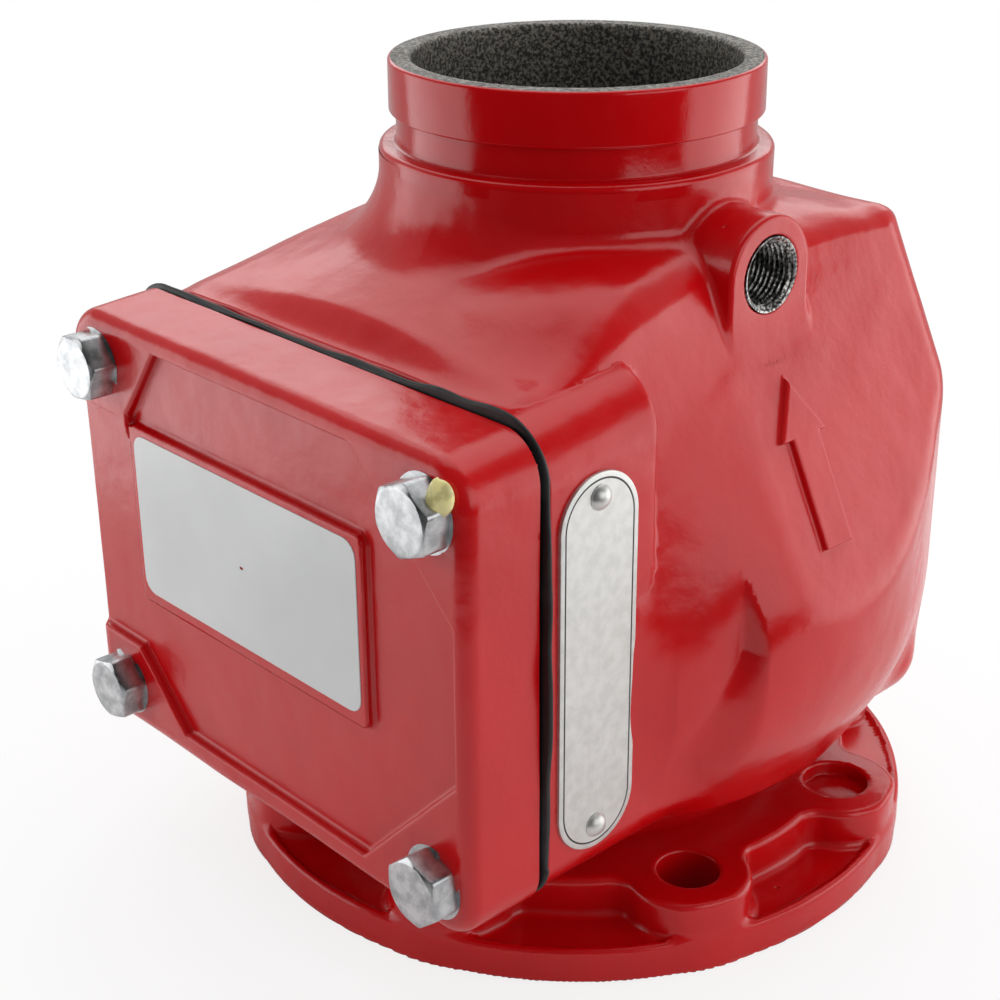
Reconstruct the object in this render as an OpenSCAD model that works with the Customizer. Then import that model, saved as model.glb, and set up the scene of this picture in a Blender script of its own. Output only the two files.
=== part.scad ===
// Non-return valve with a flanged inlet, a grooved outlet and a bolted handhole cover
// Millimetres. +Z is the direction of flow, the cover faces -Y, the inlet face is at z = 0

/* [Pipe ends] */
// Height from the inlet face to the outlet end
valve_h = 256; // [252:0.5:262]
// Outside diameter of the inlet flange
flange_od = 228.6; // [226:0.1:232]
// Diameter of the flange bolt circle
bolt_circle_d = 190.5; // [189:0.1:192]
// Diameter of a flange bolt hole
flange_hole_d = 19.05; // [17:0.05:21]
// Thickness of the flange rim
flange_rim_t = 12; // [10:0.5:14]
// Thickness of the flange over its bolt bosses
flange_t = 24; // [22:0.5:27]
// Radius of a bolt boss
flange_boss_r = 20; // [17:0.5:22]
// Bore of the inlet
inlet_bore_d = 102; // [98:0.5:104]
// Outside diameter of the grooved end
outlet_od = 114.3; // [113.5:0.1:115]
// Diameter at the bottom of the groove
groove_d = 110.08; // [108:0.02:111.5]
// Width of the groove
groove_w = 9.53; // [8.5:0.01:10.5]
// Land between the groove and the end
groove_land = 15.88; // [14:0.01:17]
// Bore of the outlet
outlet_bore_d = 100; // [94:0.5:102]
// Diameter of the collar below the groove
collar_d = 120.8; // [118:0.2:124]

/* [Body] */
// Half width of the cover frame
side_x = 92; // [88:0.5:96]
// Distance of the frame face from the axis
frame_y = 100; // [96:0.5:104]
// Depth of the cover frame
frame_t = 30; // [28:0.5:34]
// Distance of the rear wall from the axis
rear_y = 80; // [78:0.5:86]
// Radius of the round side
drum_r = 116; // [114:0.5:119]
// Height of the body's underside
under_z = 43; // [41:0.5:46]
// Height of the roof at the frame face
roof_z = 188; // [185:0.5:192]
// Slope of the roof in degrees
roof_tilt = 7.2; // [5:0.1:9]
// Lean of the arrow side in degrees
panel_lean = 26.1; // [24:0.1:28]
// Distance of the leaning side from the axis at roof height
panel_top_x = 79; // [77:0.5:82]
// Wall thickness
wall = 8; // [7:0.25:9]
// Radius of the hub above the flange
hub_r = 69; // [66:0.5:72]

/* [Ports] */
// Diameter of the gauge port
gauge_port_d = 18.3; // [16:0.1:20]
// Diameter of the main drain port
drain_port_d = 56.4; // [50:0.2:60]
// Diameter of the alarm port
alarm_port_d = 23.5; // [21:0.1:25]

/* [Cover] */
// Width of the cover
cover_w = 183; // [178:0.5:186]
// Height of the cover
cover_h = 142; // [138:0.5:144]
// Height of the cover's lower edge
cover_z = 43; // [41:0.5:46]
// Thickness of the cover
cover_t = 25.8; // [24:0.2:28]
// Depth of the sunk panel
panel_sink = 3; // [2:0.1:4]
// Thickness of the gasket
gasket_t = 3.2; // [2.4:0.1:4]
// Distance between the cover bolts across
cover_bolt_w = 152.5; // [149:0.5:155]
// Distance between the cover bolts up and down
cover_bolt_h = 111; // [108:0.5:114]
// Diameter of a cover bolt
cover_bolt_d = 12.7; // [11:0.1:14]

/* [Clapper] */
// Height of the seat face
seat_z = 72; // [71:0.25:74]
// Inner diameter of the seat ring
seat_bore_d = 94; // [90:0.5:98]
// Diameter of the clapper disc
disc_d = 114; // [111:0.5:116]
// Thickness of the disc
disc_t = 8; // [6:0.25:9]
// Thickness of the rubber facing
facing_t = 5; // [4:0.25:6]
// Distance of the hinge from the axis
hinge_x = 76; // [75:0.25:78]
// Height of the hinge above the seat face
hinge_rise = 12; // [10.5:0.25:13]
// Diameter of the hinge pin
hinge_pin_d = 12.7; // [11:0.1:14]
// Diameter of the disc stud
stud_d = 15.88; // [14:0.02:17]
// Opening of the clapper in degrees
open_deg = 60; // [54:1:62]
// Radial play of a turning fit
run_gap = 0.06; // [0.03:0.01:0.09]
// Play round a screw or a loose piece
loose_gap = 0.3; // [0.2:0.05:0.4]

/* [Hidden] */
$fn = 96;
far = 300;
cap_z = roof_z + 52;
turn_top = cap_z + 10;

// Body
bolt_r = bolt_circle_d / 2;
bolt_n = 8;
blind_bolt = 5;
blind_depth = 15;
dimple_r = 10.5;
dimple_t = 5;
groove_top = valve_h - groove_land;
groove_low = groove_top - groove_w;
box_r = 16;
roof_edge_r = 28;
back_top_r = 14;
back_side_r = 20;
drum_edge_r = 14;
drum_in = 10;
bowl_in = 20;
bowl_mid = 4.5;
bowl_rise = 22;
bowl_h = 34;
flank_y = -45.5;
flank_z = 104.5;
flank_turn = 26.6;
flank_lean = 11.6;
fillet_r = 18;
floor_z = seat_z - 12;
panel_z0 = roof_z;
axis_roof_z = roof_z + frame_y * tan(roof_tilt);

// Ports
gauge_z = 204;
gauge_face_x = panel_top_x;
gauge_boss_r = 17.5;
gauge_depth = 18;
drain_y = -10;
drain_z = 112;
drain_boss_r = 38;
port_face_x = side_x + 12;
alarm_y = -6.5;
alarm_boss_r = 18;
alarm_depth = 20;
alarm_way_r = 5;

// Seat
seat_r = seat_bore_d / 2;
seat_out_r = 62;
pocket_z = seat_z - 14;
boss_top_z = seat_z - 6;
boss_r = seat_out_r + 6;
way_in_r = 52.5;
way_out_r = 57.5;
way_z = pocket_z - 8;
alarm_z = way_z + 1;
spigot_h = 6;
ring_d = 3;
seat_fit = 0.1;
seat_groove_r = 53;
seat_groove_w = 3;
seat_groove_t = 3;
seat_hole_r = 1.5;
seal_low = 2.3;
seal_spigot_low = 1.3;
seal_gap = 0.2;

// Clapper
hinge_z = seat_z + hinge_rise;
face_z = seat_z + loose_gap;
disc_low = face_z + facing_t;
disc_top = disc_low + disc_t;
disc_r = disc_d / 2;
retainer_r = seat_r - 3.5;
retainer_hub_r = 38;
retainer_t = 3.5;
stud_r = stud_d / 2;
pad_h = 3.7;
arm_low = disc_top + pad_h + loose_gap;
arm_t = 12;
arm_top = arm_low + arm_t;
arm_w = 24;
arm_hub_r = 17;
eye_r = hinge_pin_d / 2 + 6.65;
eye_w = 40;
bush_t = 2.65;
bush_flange = 1;
bush_gap = 0.5;
lug_t = 12;
lug_in = eye_w / 2 + bush_flange + 0.4;
lug_out = lug_in + lug_t;
lug_r = eye_r;
pin_r = hinge_pin_d / 2;
pin_end = lug_out + 5.1;
ring_gap = 0.4;
ring_t = 1.1;
ring_groove = 0.75;
keeper_r = pin_r + 2.9;
washer_t = 2;
nut_af = 24;
nut_h = 9.5;
nut_low = arm_top + 0.3 + washer_t + 0.1;
stud_top = nut_low + nut_h + 1;
screw_r = 4.76;
screw_af = 14.3;
screw_head = 6;
stop_at = 48;
stop_r = 9;
stop_gap = 0.4;

// Cover
front_y = -frame_y;
gasket_front = front_y - gasket_t;
cover_front = gasket_front - cover_t;
cover_mid_z = cover_z + cover_h / 2;
cover_r = 13;
cover_edge_r = 5;
bolt_mid_z = cover_mid_z;
bolt_x = cover_bolt_w / 2;
bolt_zs = cover_bolt_h / 2;
head_h = 8.2;
head_af = 19.05;
bolt_grip = 24.4;
open_w = 124;
open_low = 62;
open_high = 166;
open_r = 14;
hollow_x = 58.5;
hollow_in = 22.5;
hollow_r = 10;
hollow_t = 13;
sunk_left_low = [24.2, 31.8];
sunk_low_left = [47.5, 8.8];
sunk_low_right = [46, 8.8];
sunk_right_low = [6, 49.8];
sunk_right_high = [6, 45];
sunk_high_right = [45.5, 5.5];
sunk_high_left = [46.5, 5.5];
sunk_pad_high = [29, 28.9];
sunk_pad_low = [29, 37];
sunk_left_high = [23.5, 31];
pin_way_r = pin_r + 0.65;
pad_l = -62.5;
pad_r = 49.5;
pad_low = 94;
pad_high = 153.5;
pad_sink = 0.5;
label_t = 0.3;
label_in = 2.5;
label_r = 5;
plate_y = -82.75;
plate_w = 29.1;
plate_low = 57;
plate_high = 172;
plate_t = 1;
rivet_in = 7;
rivet_r = 1.6;

// Rounded outlines
function unit(v) = v / norm(v);
function to_last(p, i) = unit(p[(i + len(p) - 1) % len(p)] - p[i]);
function to_next(p, i) = unit(p[(i + 1) % len(p)] - p[i]);
function half_angle(p, i) = acos(to_last(p, i) * to_next(p, i)) / 2;
function inward(p, i) = unit(to_last(p, i) + to_next(p, i)) / sin(half_angle(p, i));
function inset(p, t) = [for (i = [0:len(p) - 1]) p[i] + inward(p, i) * t];
function corner(p, r, i) = r <= 0 ? [p[i]] :
  [p[i] + to_last(p, i) * r / tan(half_angle(p, i)),
   p[i] + to_next(p, i) * r / tan(half_angle(p, i))];

// An outline with each corner rounded by its own radius
module rounded(p, r) {
  polygon([for (i = [0:len(p) - 1]) each corner(p, r[i], i)]);
  for (i = [0:len(p) - 1])
    if (r[i] > 0)
      translate(p[i] + inward(p, i) * r[i])
        circle(r = r[i]);
}

// Outline in x and z, carried along y from one distance to the other
module along_y(from, to) {
  translate([0, to, 0])
    rotate([90, 0, 0])
      linear_extrude(to - from)
        children();
}

// Outline in y and z, carried along x
module along_x(from, to) {
  translate([from, 0, 0])
    rotate([90, 0, 90])
      linear_extrude(to - from)
        children();
}

function box(x0, y0, x1, y1) = [[x0, y0], [x1, y0], [x1, y1], [x0, y1]];
function panel_x(z) = panel_top_x + tan(panel_lean) * (panel_z0 - z);
function roof_at(y) = roof_z + tan(roof_tilt) * (y - front_y);

// Roof with the rounded edge over the drain side, t below the outside
module roof_form(t) {
  translate([0, front_y, roof_z])
    rotate([roof_tilt, 0, 0])
      along_y(-20, far)
        rounded(inset(box(-side_x, -far, far, 0), t), [0, 0, 0, roof_edge_r - t]);
}

// Rear wall with its rounded edges, t inside the outside
module back_form(t, low, low_r) {
  p = [[front_y - 20, low], [rear_y - t, low],
    [rear_y - t, roof_at(rear_y - t) - t / cos(roof_tilt)],
    [front_y - 20, roof_at(front_y - 20) - t / cos(roof_tilt)]];
  along_x(-far, far)
    rounded(p, [0, low_r, back_top_r - t, 0]);
}

// Square part of the chamber
module box_form(t, low, low_r, front) {
  lean_t = t / cos(panel_lean);
  top = cap_z;
  turn = panel_z0 - (side_x - t + lean_t - panel_top_x) / tan(panel_lean);
  p = [[-side_x + t, low], [side_x - t, low], [side_x - t, turn],
    [panel_x(top) - lean_t, top], [-side_x + t, top]];
  intersection() {
    along_y(front, rear_y + 10)
      rounded(p, [low_r, low_r, 0, 0, 0]);
    linear_extrude(far)
      rounded(box(-side_x + t, front, side_x - t, rear_y - t),
        [0, 0, back_side_r - t, back_side_r - t]);
  }
}

// Plan of the round side, with a rounded turn into the rear wall
module drum_plan(t) {
  r = drum_r - t;
  y = rear_y - t;
  q = drum_edge_r - t;
  c = [sqrt((r - q) * (r - q) - (y - q) * (y - q)), y - q];
  e = unit(c) * r;
  polygon([[drum_in, -r - 5], [r + 5, -r - 5], [r + 5, e[1]], e, [c[0] + 0.6, y],
    [drum_in, y]]);
  translate([c[0] + 0.6, c[1]])
    circle(r = q);
}

// Round side behind the leaning panel
module bulge_form(t, low, front) {
  lean_t = t / cos(panel_lean);
  p = inset([[-far, under_z], [drum_r - bowl_in, under_z], [drum_r - bowl_mid, under_z + bowl_rise],
    [drum_r, under_z + bowl_h], [drum_r, far], [-far, far]], t);
  foot = p[1][0] + (p[2][0] - p[1][0]) * (low - p[1][1]) / (p[2][1] - p[1][1]);
  intersection() {
    along_y(front, drum_r + 20)
      polygon([[drum_in, 0], [panel_x(0) - lean_t, 0], [panel_x(cap_z) - lean_t, cap_z],
        [drum_in, cap_z]]);
    translate([side_x, flank_y, flank_z])
      rotate([0, 0, flank_turn])
        rotate([flank_lean, 0, 0])
          translate([-far, t, -far])
            cube([2 * far, far, 2 * far]);
    linear_extrude(far)
      drum_plan(t);
    rotate_extrude()
      polygon([[0, low], [foot, low], p[2], p[3], [p[3][0], turn_top], [0, turn_top]]);
  }
}

// Square part and round side under one roof
module chamber_form(t, low, low_r, front) {
  intersection() {
    union() {
      box_form(t, low, low_r, front);
      bulge_form(t, low, front);
    }
    roof_form(t);
    back_form(t, low, low_r);
  }
}

// Frame that the cover is bolted to
module cover_frame() {
  intersection() {
    along_y(front_y, front_y + frame_t + 8)
      rounded(box(-side_x, under_z, side_x, far), [box_r, box_r, 0, 0]);
    translate([0, front_y, roof_z])
      rotate([roof_tilt, 0, 0])
        along_y(-20, far)
          rounded(box(-side_x, -far, side_x, 0), [0, 0, box_r, roof_edge_r]);
  }
}

module flange() {
  cylinder(h = flange_rim_t, d = flange_od);
  intersection() {
    cylinder(h = flange_t, d = flange_od);
    union() {
      cylinder(h = flange_t, r = bolt_r - 0.25);
      for (k = [0:bolt_n - 1])
        rotate([0, 0, 22.5 + 45 * k])
          translate([bolt_r, 0, 0])
            cylinder(h = flange_t, r = flange_boss_r);
    }
  }
}

module flange_holes() {
  for (k = [0:bolt_n - 1])
    rotate([0, 0, 22.5 + 45 * (k - blind_bolt)])
      translate([bolt_r, 0, 0])
        if (k == blind_bolt) {
          translate([0, 0, -1])
            cylinder(h = 1 + blind_depth, d = flange_hole_d);
          translate([0, 0, flange_t - dimple_t])
            cylinder(h = dimple_t + 1, r = dimple_r);
        } else
          translate([0, 0, -1])
            cylinder(h = flange_t + 2, d = flange_hole_d);
}

// Collar, groove and grooved end
module outlet_neck() {
  translate([0, 0, floor_z])
    cylinder(h = groove_low - floor_z, d = collar_d);
  translate([0, 0, groove_low - 1])
    cylinder(h = groove_w + 2, d = groove_d);
  translate([0, 0, groove_top])
    cylinder(h = groove_land, d = outlet_od);
  translate([0, 0, axis_roof_z])
    rotate([roof_tilt, 0, 0])
      rotate_extrude()
        difference() {
          translate([outlet_bore_d / 2, -10])
            square([collar_d / 2 - outlet_bore_d / 2 + fillet_r - 2, fillet_r + 7]);
          translate([collar_d / 2 + fillet_r - 0.4, fillet_r - 0.8])
            circle(r = fillet_r);
          translate([collar_d / 2 - 0.5, fillet_r - 0.8])
            square([far, far]);
        }
}

// Boss for the gauge port, with a straight skirt into the leaning side
module gauge_boss() {
  translate([outlet_bore_d / 2 + 3, 0, gauge_z])
    rotate([0, 90, 0])
      cylinder(h = gauge_face_x - outlet_bore_d / 2 - 3, r = gauge_boss_r);
  translate([outlet_bore_d / 2 + 3, -gauge_boss_r, roof_z - 2])
    cube([gauge_face_x - outlet_bore_d / 2 - 3, 2 * gauge_boss_r, gauge_z - roof_z + 2]);
}

module drain_boss() {
  translate([-port_face_x, drain_y, drain_z])
    rotate([0, 90, 0])
      cylinder(h = port_face_x - side_x + wall, r = drain_boss_r);
}

module alarm_boss() {
  translate([-port_face_x, alarm_y, alarm_z])
    rotate([0, 90, 0])
      cylinder(h = port_face_x - way_out_r - 2, r = alarm_boss_r);
}

// Lugs that carry the hinge pin
module hinge_lugs() {
  for (s = [0, 1])
    mirror([0, s, 0]) {
      translate([hinge_x, lug_in, hinge_z])
        rotate([-90, 0, 0])
          cylinder(h = lug_t, r = lug_r);
      translate([hinge_x - lug_r, lug_in, floor_z - 8])
        cube([2 * lug_r, lug_t, hinge_z - floor_z + 8]);
    }
}

// Stop that the open arm rests on
module open_stop() {
  away = [sin(open_deg), cos(open_deg)];
  rise = arm_top - hinge_z + stop_gap;
  p = [hinge_x - stop_at * cos(open_deg) + rise * sin(open_deg),
    hinge_z + stop_at * sin(open_deg) + rise * cos(open_deg)];
  n = [cos(panel_lean), sin(panel_lean)];
  reach = ([panel_top_x, panel_z0] * n - wall / 2 - p * n) / (away * n);
  translate([p[0], 0, p[1]])
    rotate([0, open_deg, 0])
      cylinder(h = reach, r = stop_r);
}

module body_cuts() {
  translate([0, 0, -1])
    cylinder(h = pocket_z + 2, d = inlet_bore_d);
  translate([0, 0, axis_roof_z - 40])
    cylinder(h = valve_h - axis_roof_z + 41, d = outlet_bore_d);
  translate([0, 0, pocket_z])
    cylinder(h = 20, r = seat_out_r + seat_fit);
  translate([0, 0, way_z])
    difference() {
      cylinder(h = pocket_z - way_z + 1, r = way_out_r);
      translate([0, 0, -1])
        cylinder(h = pocket_z - way_z + 3, r = way_in_r);
    }
  flange_holes();
  translate([0, 0, gauge_z])
    rotate([0, 90, 0]) {
      translate([0, 0, outlet_bore_d / 2 - 4])
        cylinder(h = far, r = gauge_port_d / 2 - 2);
      translate([0, 0, gauge_face_x - gauge_depth])
        cylinder(h = gauge_depth + 1, d = gauge_port_d);
    }
  translate([-port_face_x - 1, drain_y, drain_z])
    rotate([0, 90, 0])
      cylinder(h = port_face_x - side_x + wall + 4, d = drain_port_d);
  translate([-port_face_x - 1, alarm_y, alarm_z])
    rotate([0, 90, 0])
      cylinder(h = alarm_depth + 1, d = alarm_port_d);
  translate([alarm_depth - port_face_x - 1, 0, alarm_z])
    rotate([0, 90, 0])
      cylinder(h = port_face_x - alarm_depth - way_in_r - 1, r = alarm_way_r);
  along_y(front_y - 1, front_y + frame_t + 6)
    rounded(box(-open_w / 2, open_low, open_w / 2, open_high),
      [open_r, open_r, open_r, open_r]);
  for (x = [-bolt_x, bolt_x], z = [bolt_mid_z - bolt_zs, bolt_mid_z + bolt_zs])
    translate([x, front_y + bolt_grip, z])
      rotate([90, 0, 0])
        cylinder(h = bolt_grip + 1, r = cover_bolt_d / 2 + loose_gap);
  translate([hinge_x, front_y + frame_t + 4, hinge_z])
    rotate([90, 0, 0])
      cylinder(h = frame_t + 5, r = pin_way_r);
  translate([hinge_x, lug_out + 1, hinge_z])
    rotate([90, 0, 0])
      cylinder(h = 2 * lug_out + 2, r = pin_r + run_gap);
  for (s = [0, 1])
    mirror([0, s, 0])
      translate([hinge_x, lug_out, hinge_z])
        rotate([-90, 0, 0])
          cylinder(h = pin_end - lug_out + 0.9, r = keeper_r + 0.6);
  for (z = [plate_low + rivet_in, plate_high - rivet_in])
    translate([side_x - 6, plate_y, z])
      rotate([0, 90, 0])
        cylinder(h = 7, r = rivet_r + 0.1);
}

module valve_body() {
  color([0.72, 0.1, 0.12])
    difference() {
      union() {
        difference() {
          union() {
            flange();
            cylinder(h = floor_z - 2, r = hub_r);
            cover_frame();
            chamber_form(0, under_z, box_r, front_y + 20);
            outlet_neck();
            gauge_boss();
            drain_boss();
            alarm_boss();
          }
          chamber_form(wall, floor_z, box_r - wall, front_y + frame_t);
        }
        cylinder(h = boss_top_z, r = boss_r);
        hinge_lugs();
        open_stop();
      }
      body_cuts();
    }
}

// Seat ring with its alarm groove, small holes and two grooves for the seals
module seat_ring() {
  color([0.75, 0.58, 0.3])
    difference() {
      union() {
        translate([0, 0, pocket_z])
          cylinder(h = seat_z - pocket_z, r = seat_out_r);
        translate([0, 0, pocket_z - spigot_h])
          cylinder(h = spigot_h + 1, r = inlet_bore_d / 2 - seat_fit);
      }
      translate([0, 0, pocket_z - spigot_h - 1])
        cylinder(h = far, r = seat_r);
      translate([0, 0, seat_z - seat_groove_t])
        difference() {
          cylinder(h = seat_groove_t + 1, r = seat_groove_r + seat_groove_w / 2);
          translate([0, 0, -1])
            cylinder(h = seat_groove_t + 3, r = seat_groove_r - seat_groove_w / 2);
        }
      for (k = [0:7])
        rotate([0, 0, 45 * k])
          translate([seat_groove_r + 1, 0, pocket_z - 1])
            cylinder(h = seat_z - pocket_z, r = seat_hole_r);
      translate([0, 0, pocket_z + seal_low])
        difference() {
          cylinder(h = ring_d + 2 * seal_gap, r = far);
          translate([0, 0, -1])
            cylinder(h = ring_d + 3, r = seat_out_r - ring_d - seal_gap);
        }
      translate([0, 0, pocket_z - spigot_h + seal_spigot_low])
        difference() {
          cylinder(h = ring_d + 2 * seal_gap, r = far);
          translate([0, 0, -1])
            cylinder(h = ring_d + 3, r = inlet_bore_d / 2 - ring_d - seal_gap);
        }
    }
}

module seal(r, z) {
  color([0.08, 0.08, 0.08])
    translate([0, 0, z])
      rotate_extrude()
        translate([r, 0])
          circle(d = ring_d, $fn = 32);
}

module seat_seal_inner() {
  seal(inlet_bore_d / 2 - ring_d / 2 - 0.05,
    pocket_z - spigot_h + seal_spigot_low + seal_gap + ring_d / 2);
}

module seat_seal_outer() {
  seal(seat_out_r - ring_d / 2 - 0.05, pocket_z + seal_low + seal_gap + ring_d / 2);
}

// Arm with a hub over the disc and a wide eye at the hinge
module clapper_arm() {
  color([0.45, 0.43, 0.4])
    difference() {
      union() {
        translate([0, 0, arm_low])
          cylinder(h = arm_t, r = arm_hub_r);
        along_y(-arm_w / 2, arm_w / 2)
          polygon([[0, arm_low], [disc_r + 1, arm_low], [hinge_x - eye_r * 0.8, hinge_z - eye_r * 0.3],
            [hinge_x, hinge_z], [hinge_x, hinge_z + eye_r * 0.98], [disc_r + 6, arm_top],
            [0, arm_top]]);
        translate([hinge_x, eye_w / 2, hinge_z])
          rotate([90, 0, 0])
            cylinder(h = eye_w, r = eye_r);
      }
      translate([0, 0, arm_low - 1])
        cylinder(h = arm_t + 2, r = stud_r + run_gap);
      translate([hinge_x, eye_w, hinge_z])
        rotate([90, 0, 0])
          cylinder(h = 2 * eye_w, r = pin_r + bush_t + 0.02);
    }
}

module clapper_disc() {
  color([0.62, 0.48, 0.26])
    difference() {
      union() {
        translate([0, 0, disc_low])
          cylinder(h = disc_t, r = disc_r);
        translate([0, 0, disc_top - 1])
          cylinder(h = pad_h + 1, r = stud_r + 6);
        translate([0, 0, disc_top])
          cylinder(h = stud_top - disc_top, r = stud_r);
      }
      translate([0, 0, disc_low - 1])
        cylinder(h = disc_t - 1, r = screw_r + loose_gap);
    }
}

module clapper_facing() {
  color([0.12, 0.12, 0.12])
    translate([0, 0, face_z])
      difference() {
        cylinder(h = facing_t, r = disc_r - 0.5);
        translate([0, 0, -1])
          cylinder(h = facing_t + 2, r = retainer_hub_r + loose_gap);
      }
}

module facing_retainer() {
  color([0.7, 0.7, 0.68])
    difference() {
      union() {
        translate([0, 0, face_z - retainer_t])
          cylinder(h = retainer_t, r = retainer_r);
        translate([0, 0, face_z - 1])
          cylinder(h = facing_t + 1, r = retainer_hub_r);
      }
      translate([0, 0, face_z - retainer_t - 1])
        cylinder(h = far, r = screw_r + loose_gap);
    }
}

// Hexagon screw with its head below z, shank above
module hex_screw(af, head, r, length) {
  translate([0, 0, -head])
    intersection() {
      cylinder(h = head, r = af / 2 / cos(30), $fn = 6);
      union() {
        translate([0, 0, head * 0.2])
          cylinder(h = head, r = af / 2 / cos(30) + 0.2);
        cylinder(h = head * 0.2 + 0.01, r1 = af / 2 - 0.1, r2 = af / 2 / cos(30) + 0.2);
      }
    }
  translate([0, 0, -0.5])
    cylinder(h = length + 0.5, r = r);
}

module facing_bolt() {
  color([0.75, 0.75, 0.77])
    translate([0, 0, face_z - retainer_t])
      hex_screw(screw_af, screw_head, screw_r, retainer_t + facing_t + disc_t - 3);
}

module disc_washer() {
  color([0.75, 0.75, 0.77])
    translate([0, 0, arm_top + 0.3])
      difference() {
        cylinder(h = washer_t, r = stud_r + 6);
        translate([0, 0, -1])
          cylinder(h = washer_t + 2, r = stud_r + loose_gap);
      }
}

module disc_nut() {
  color([0.75, 0.75, 0.77])
    translate([0, 0, nut_low])
      difference() {
        cylinder(h = nut_h, r = nut_af / 2 / cos(30), $fn = 6);
        translate([0, 0, -1])
          cylinder(h = nut_h + 2, r = stud_r + loose_gap);
      }
}

module hinge_pin() {
  color([0.7, 0.7, 0.72])
    translate([hinge_x, 0, hinge_z])
      rotate([90, 0, 0])
        difference() {
          cylinder(h = 2 * pin_end, r = pin_r, center = true);
          for (s = [-1, 1])
            translate([0, 0, s * (lug_out + ring_gap + ring_t / 2)])
              difference() {
                cylinder(h = ring_t + 0.2, r = pin_r + 1, center = true);
                cylinder(h = ring_t + 1, r = pin_r - ring_groove, center = true);
              }
        }
}

// Flanged bushing, its flange on the outside of the eye
module bushing(s) {
  color([0.75, 0.58, 0.3])
    translate([hinge_x, 0, hinge_z])
      rotate([s * -90, 0, 0])
        difference() {
          union() {
            translate([0, 0, bush_gap])
              cylinder(h = eye_w / 2 - bush_gap + 0.5, r = pin_r + bush_t);
            translate([0, 0, eye_w / 2])
              cylinder(h = bush_flange, r = pin_r + bush_t + 2.5);
          }
          cylinder(h = eye_w, r = pin_r + run_gap);
        }
}

module hinge_bushing_front() {
  bushing(-1);
}

module hinge_bushing_rear() {
  bushing(1);
}

// Retaining ring with its open side down
module keeper(s) {
  color([0.55, 0.55, 0.57])
    translate([hinge_x, s * (lug_out + ring_gap + ring_t / 2), hinge_z])
      rotate([90, 0, 0])
        difference() {
          cylinder(h = ring_t, r = keeper_r, center = true);
          cylinder(h = ring_t + 1, r = pin_r - ring_groove + 0.1, center = true);
          translate([-3, -pin_r - 6, -ring_t])
            cube([6, pin_r + 6, 2 * ring_t]);
        }
}

module hinge_ring_front() {
  keeper(-1);
}

module hinge_ring_rear() {
  keeper(1);
}

// A corner of the sunk panel, from its distances to the nearest side and the nearest end
function from_edge(v, across, up) =
  [across * (cover_w / 2 - v[0]), cover_mid_z + up * (cover_h / 2 - v[1])];

// Edge of the sunk panel, open at the left side, seen from the front
function sunk_edge() = [from_edge([-5, sunk_left_low[1]], -1, -1), from_edge(sunk_left_low, -1, -1),
  from_edge(sunk_low_left, -1, -1), from_edge(sunk_low_right, 1, -1),
  from_edge(sunk_right_low, 1, -1), from_edge(sunk_right_high, 1, 1),
  from_edge(sunk_high_right, 1, 1), from_edge(sunk_high_left, -1, 1),
  from_edge(sunk_pad_high, -1, 1), from_edge(sunk_pad_low, -1, 1),
  from_edge(sunk_left_high, -1, 1), from_edge([-5, sunk_left_high[1]], -1, 1)];

// Cover with rounded front edges, sunk panel, label pad and hollow back
module handhole_cover() {
  z0 = cover_z;
  z1 = cover_z + cover_h;
  w = cover_w / 2;
  b = gasket_front + 10;
  color([0.72, 0.1, 0.12])
    difference() {
      intersection() {
        along_y(cover_front, gasket_front)
          rounded(box(-w, z0, w, z1), [cover_r, cover_r, cover_r, cover_r]);
        along_x(-far, far)
          rounded(box(cover_front, z0, b, z1), [cover_edge_r, 0, 0, cover_edge_r]);
        linear_extrude(far)
          rounded(box(-w, cover_front, w, b), [cover_edge_r, cover_edge_r, 0, 0]);
      }
      difference() {
        along_y(cover_front - 1, cover_front + panel_sink)
          polygon(sunk_edge());
        along_y(cover_front + pad_sink, cover_front + panel_sink + 1)
          rounded(box(pad_l, pad_low, pad_r, pad_high), [2, 2, 2, 2]);
      }
      along_y(gasket_front - hollow_t, gasket_front + 1)
        rounded(box(-hollow_x, z0 + hollow_in, hollow_x, z1 - hollow_in),
          [hollow_r, hollow_r, hollow_r, hollow_r]);
      for (x = [-bolt_x, bolt_x], z = [bolt_mid_z - bolt_zs, bolt_mid_z + bolt_zs])
        translate([x, gasket_front + 1, z])
          rotate([90, 0, 0])
            cylinder(h = cover_t + 2, r = cover_bolt_d / 2 + 0.75);
    }
}

module cover_gasket() {
  color([0.1, 0.1, 0.1])
    difference() {
      along_y(gasket_front, front_y)
        rounded(box(-side_x - 1.2, under_z - 0.7, side_x + 1.2, roof_z + 1),
          [box_r - 1, box_r - 1, box_r - 1, box_r - 1]);
      along_y(gasket_front - 1, front_y + 1)
        rounded(box(-open_w / 2 - 1, open_low - 1, open_w / 2 + 1, open_high + 1),
          [open_r, open_r, open_r, open_r]);
      for (x = [-bolt_x, bolt_x], z = [bolt_mid_z - bolt_zs, bolt_mid_z + bolt_zs])
        translate([x, front_y + 1, z])
          rotate([90, 0, 0])
            cylinder(h = gasket_t + 2, r = cover_bolt_d / 2 + 0.5);
    }
}

module cover_bolt(x, z) {
  color([0.78, 0.78, 0.8])
    translate([x, cover_front, bolt_mid_z + z])
      rotate([-90, 0, 0])
        hex_screw(head_af, head_h, cover_bolt_d / 2, cover_t + gasket_t + bolt_grip - 2);
}

module cover_bolt_upper_left() {
  cover_bolt(-bolt_x, bolt_zs);
}

module cover_bolt_upper_right() {
  cover_bolt(bolt_x, bolt_zs);
}

module cover_bolt_lower_left() {
  cover_bolt(-bolt_x, -bolt_zs);
}

module cover_bolt_lower_right() {
  cover_bolt(bolt_x, -bolt_zs);
}

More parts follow.
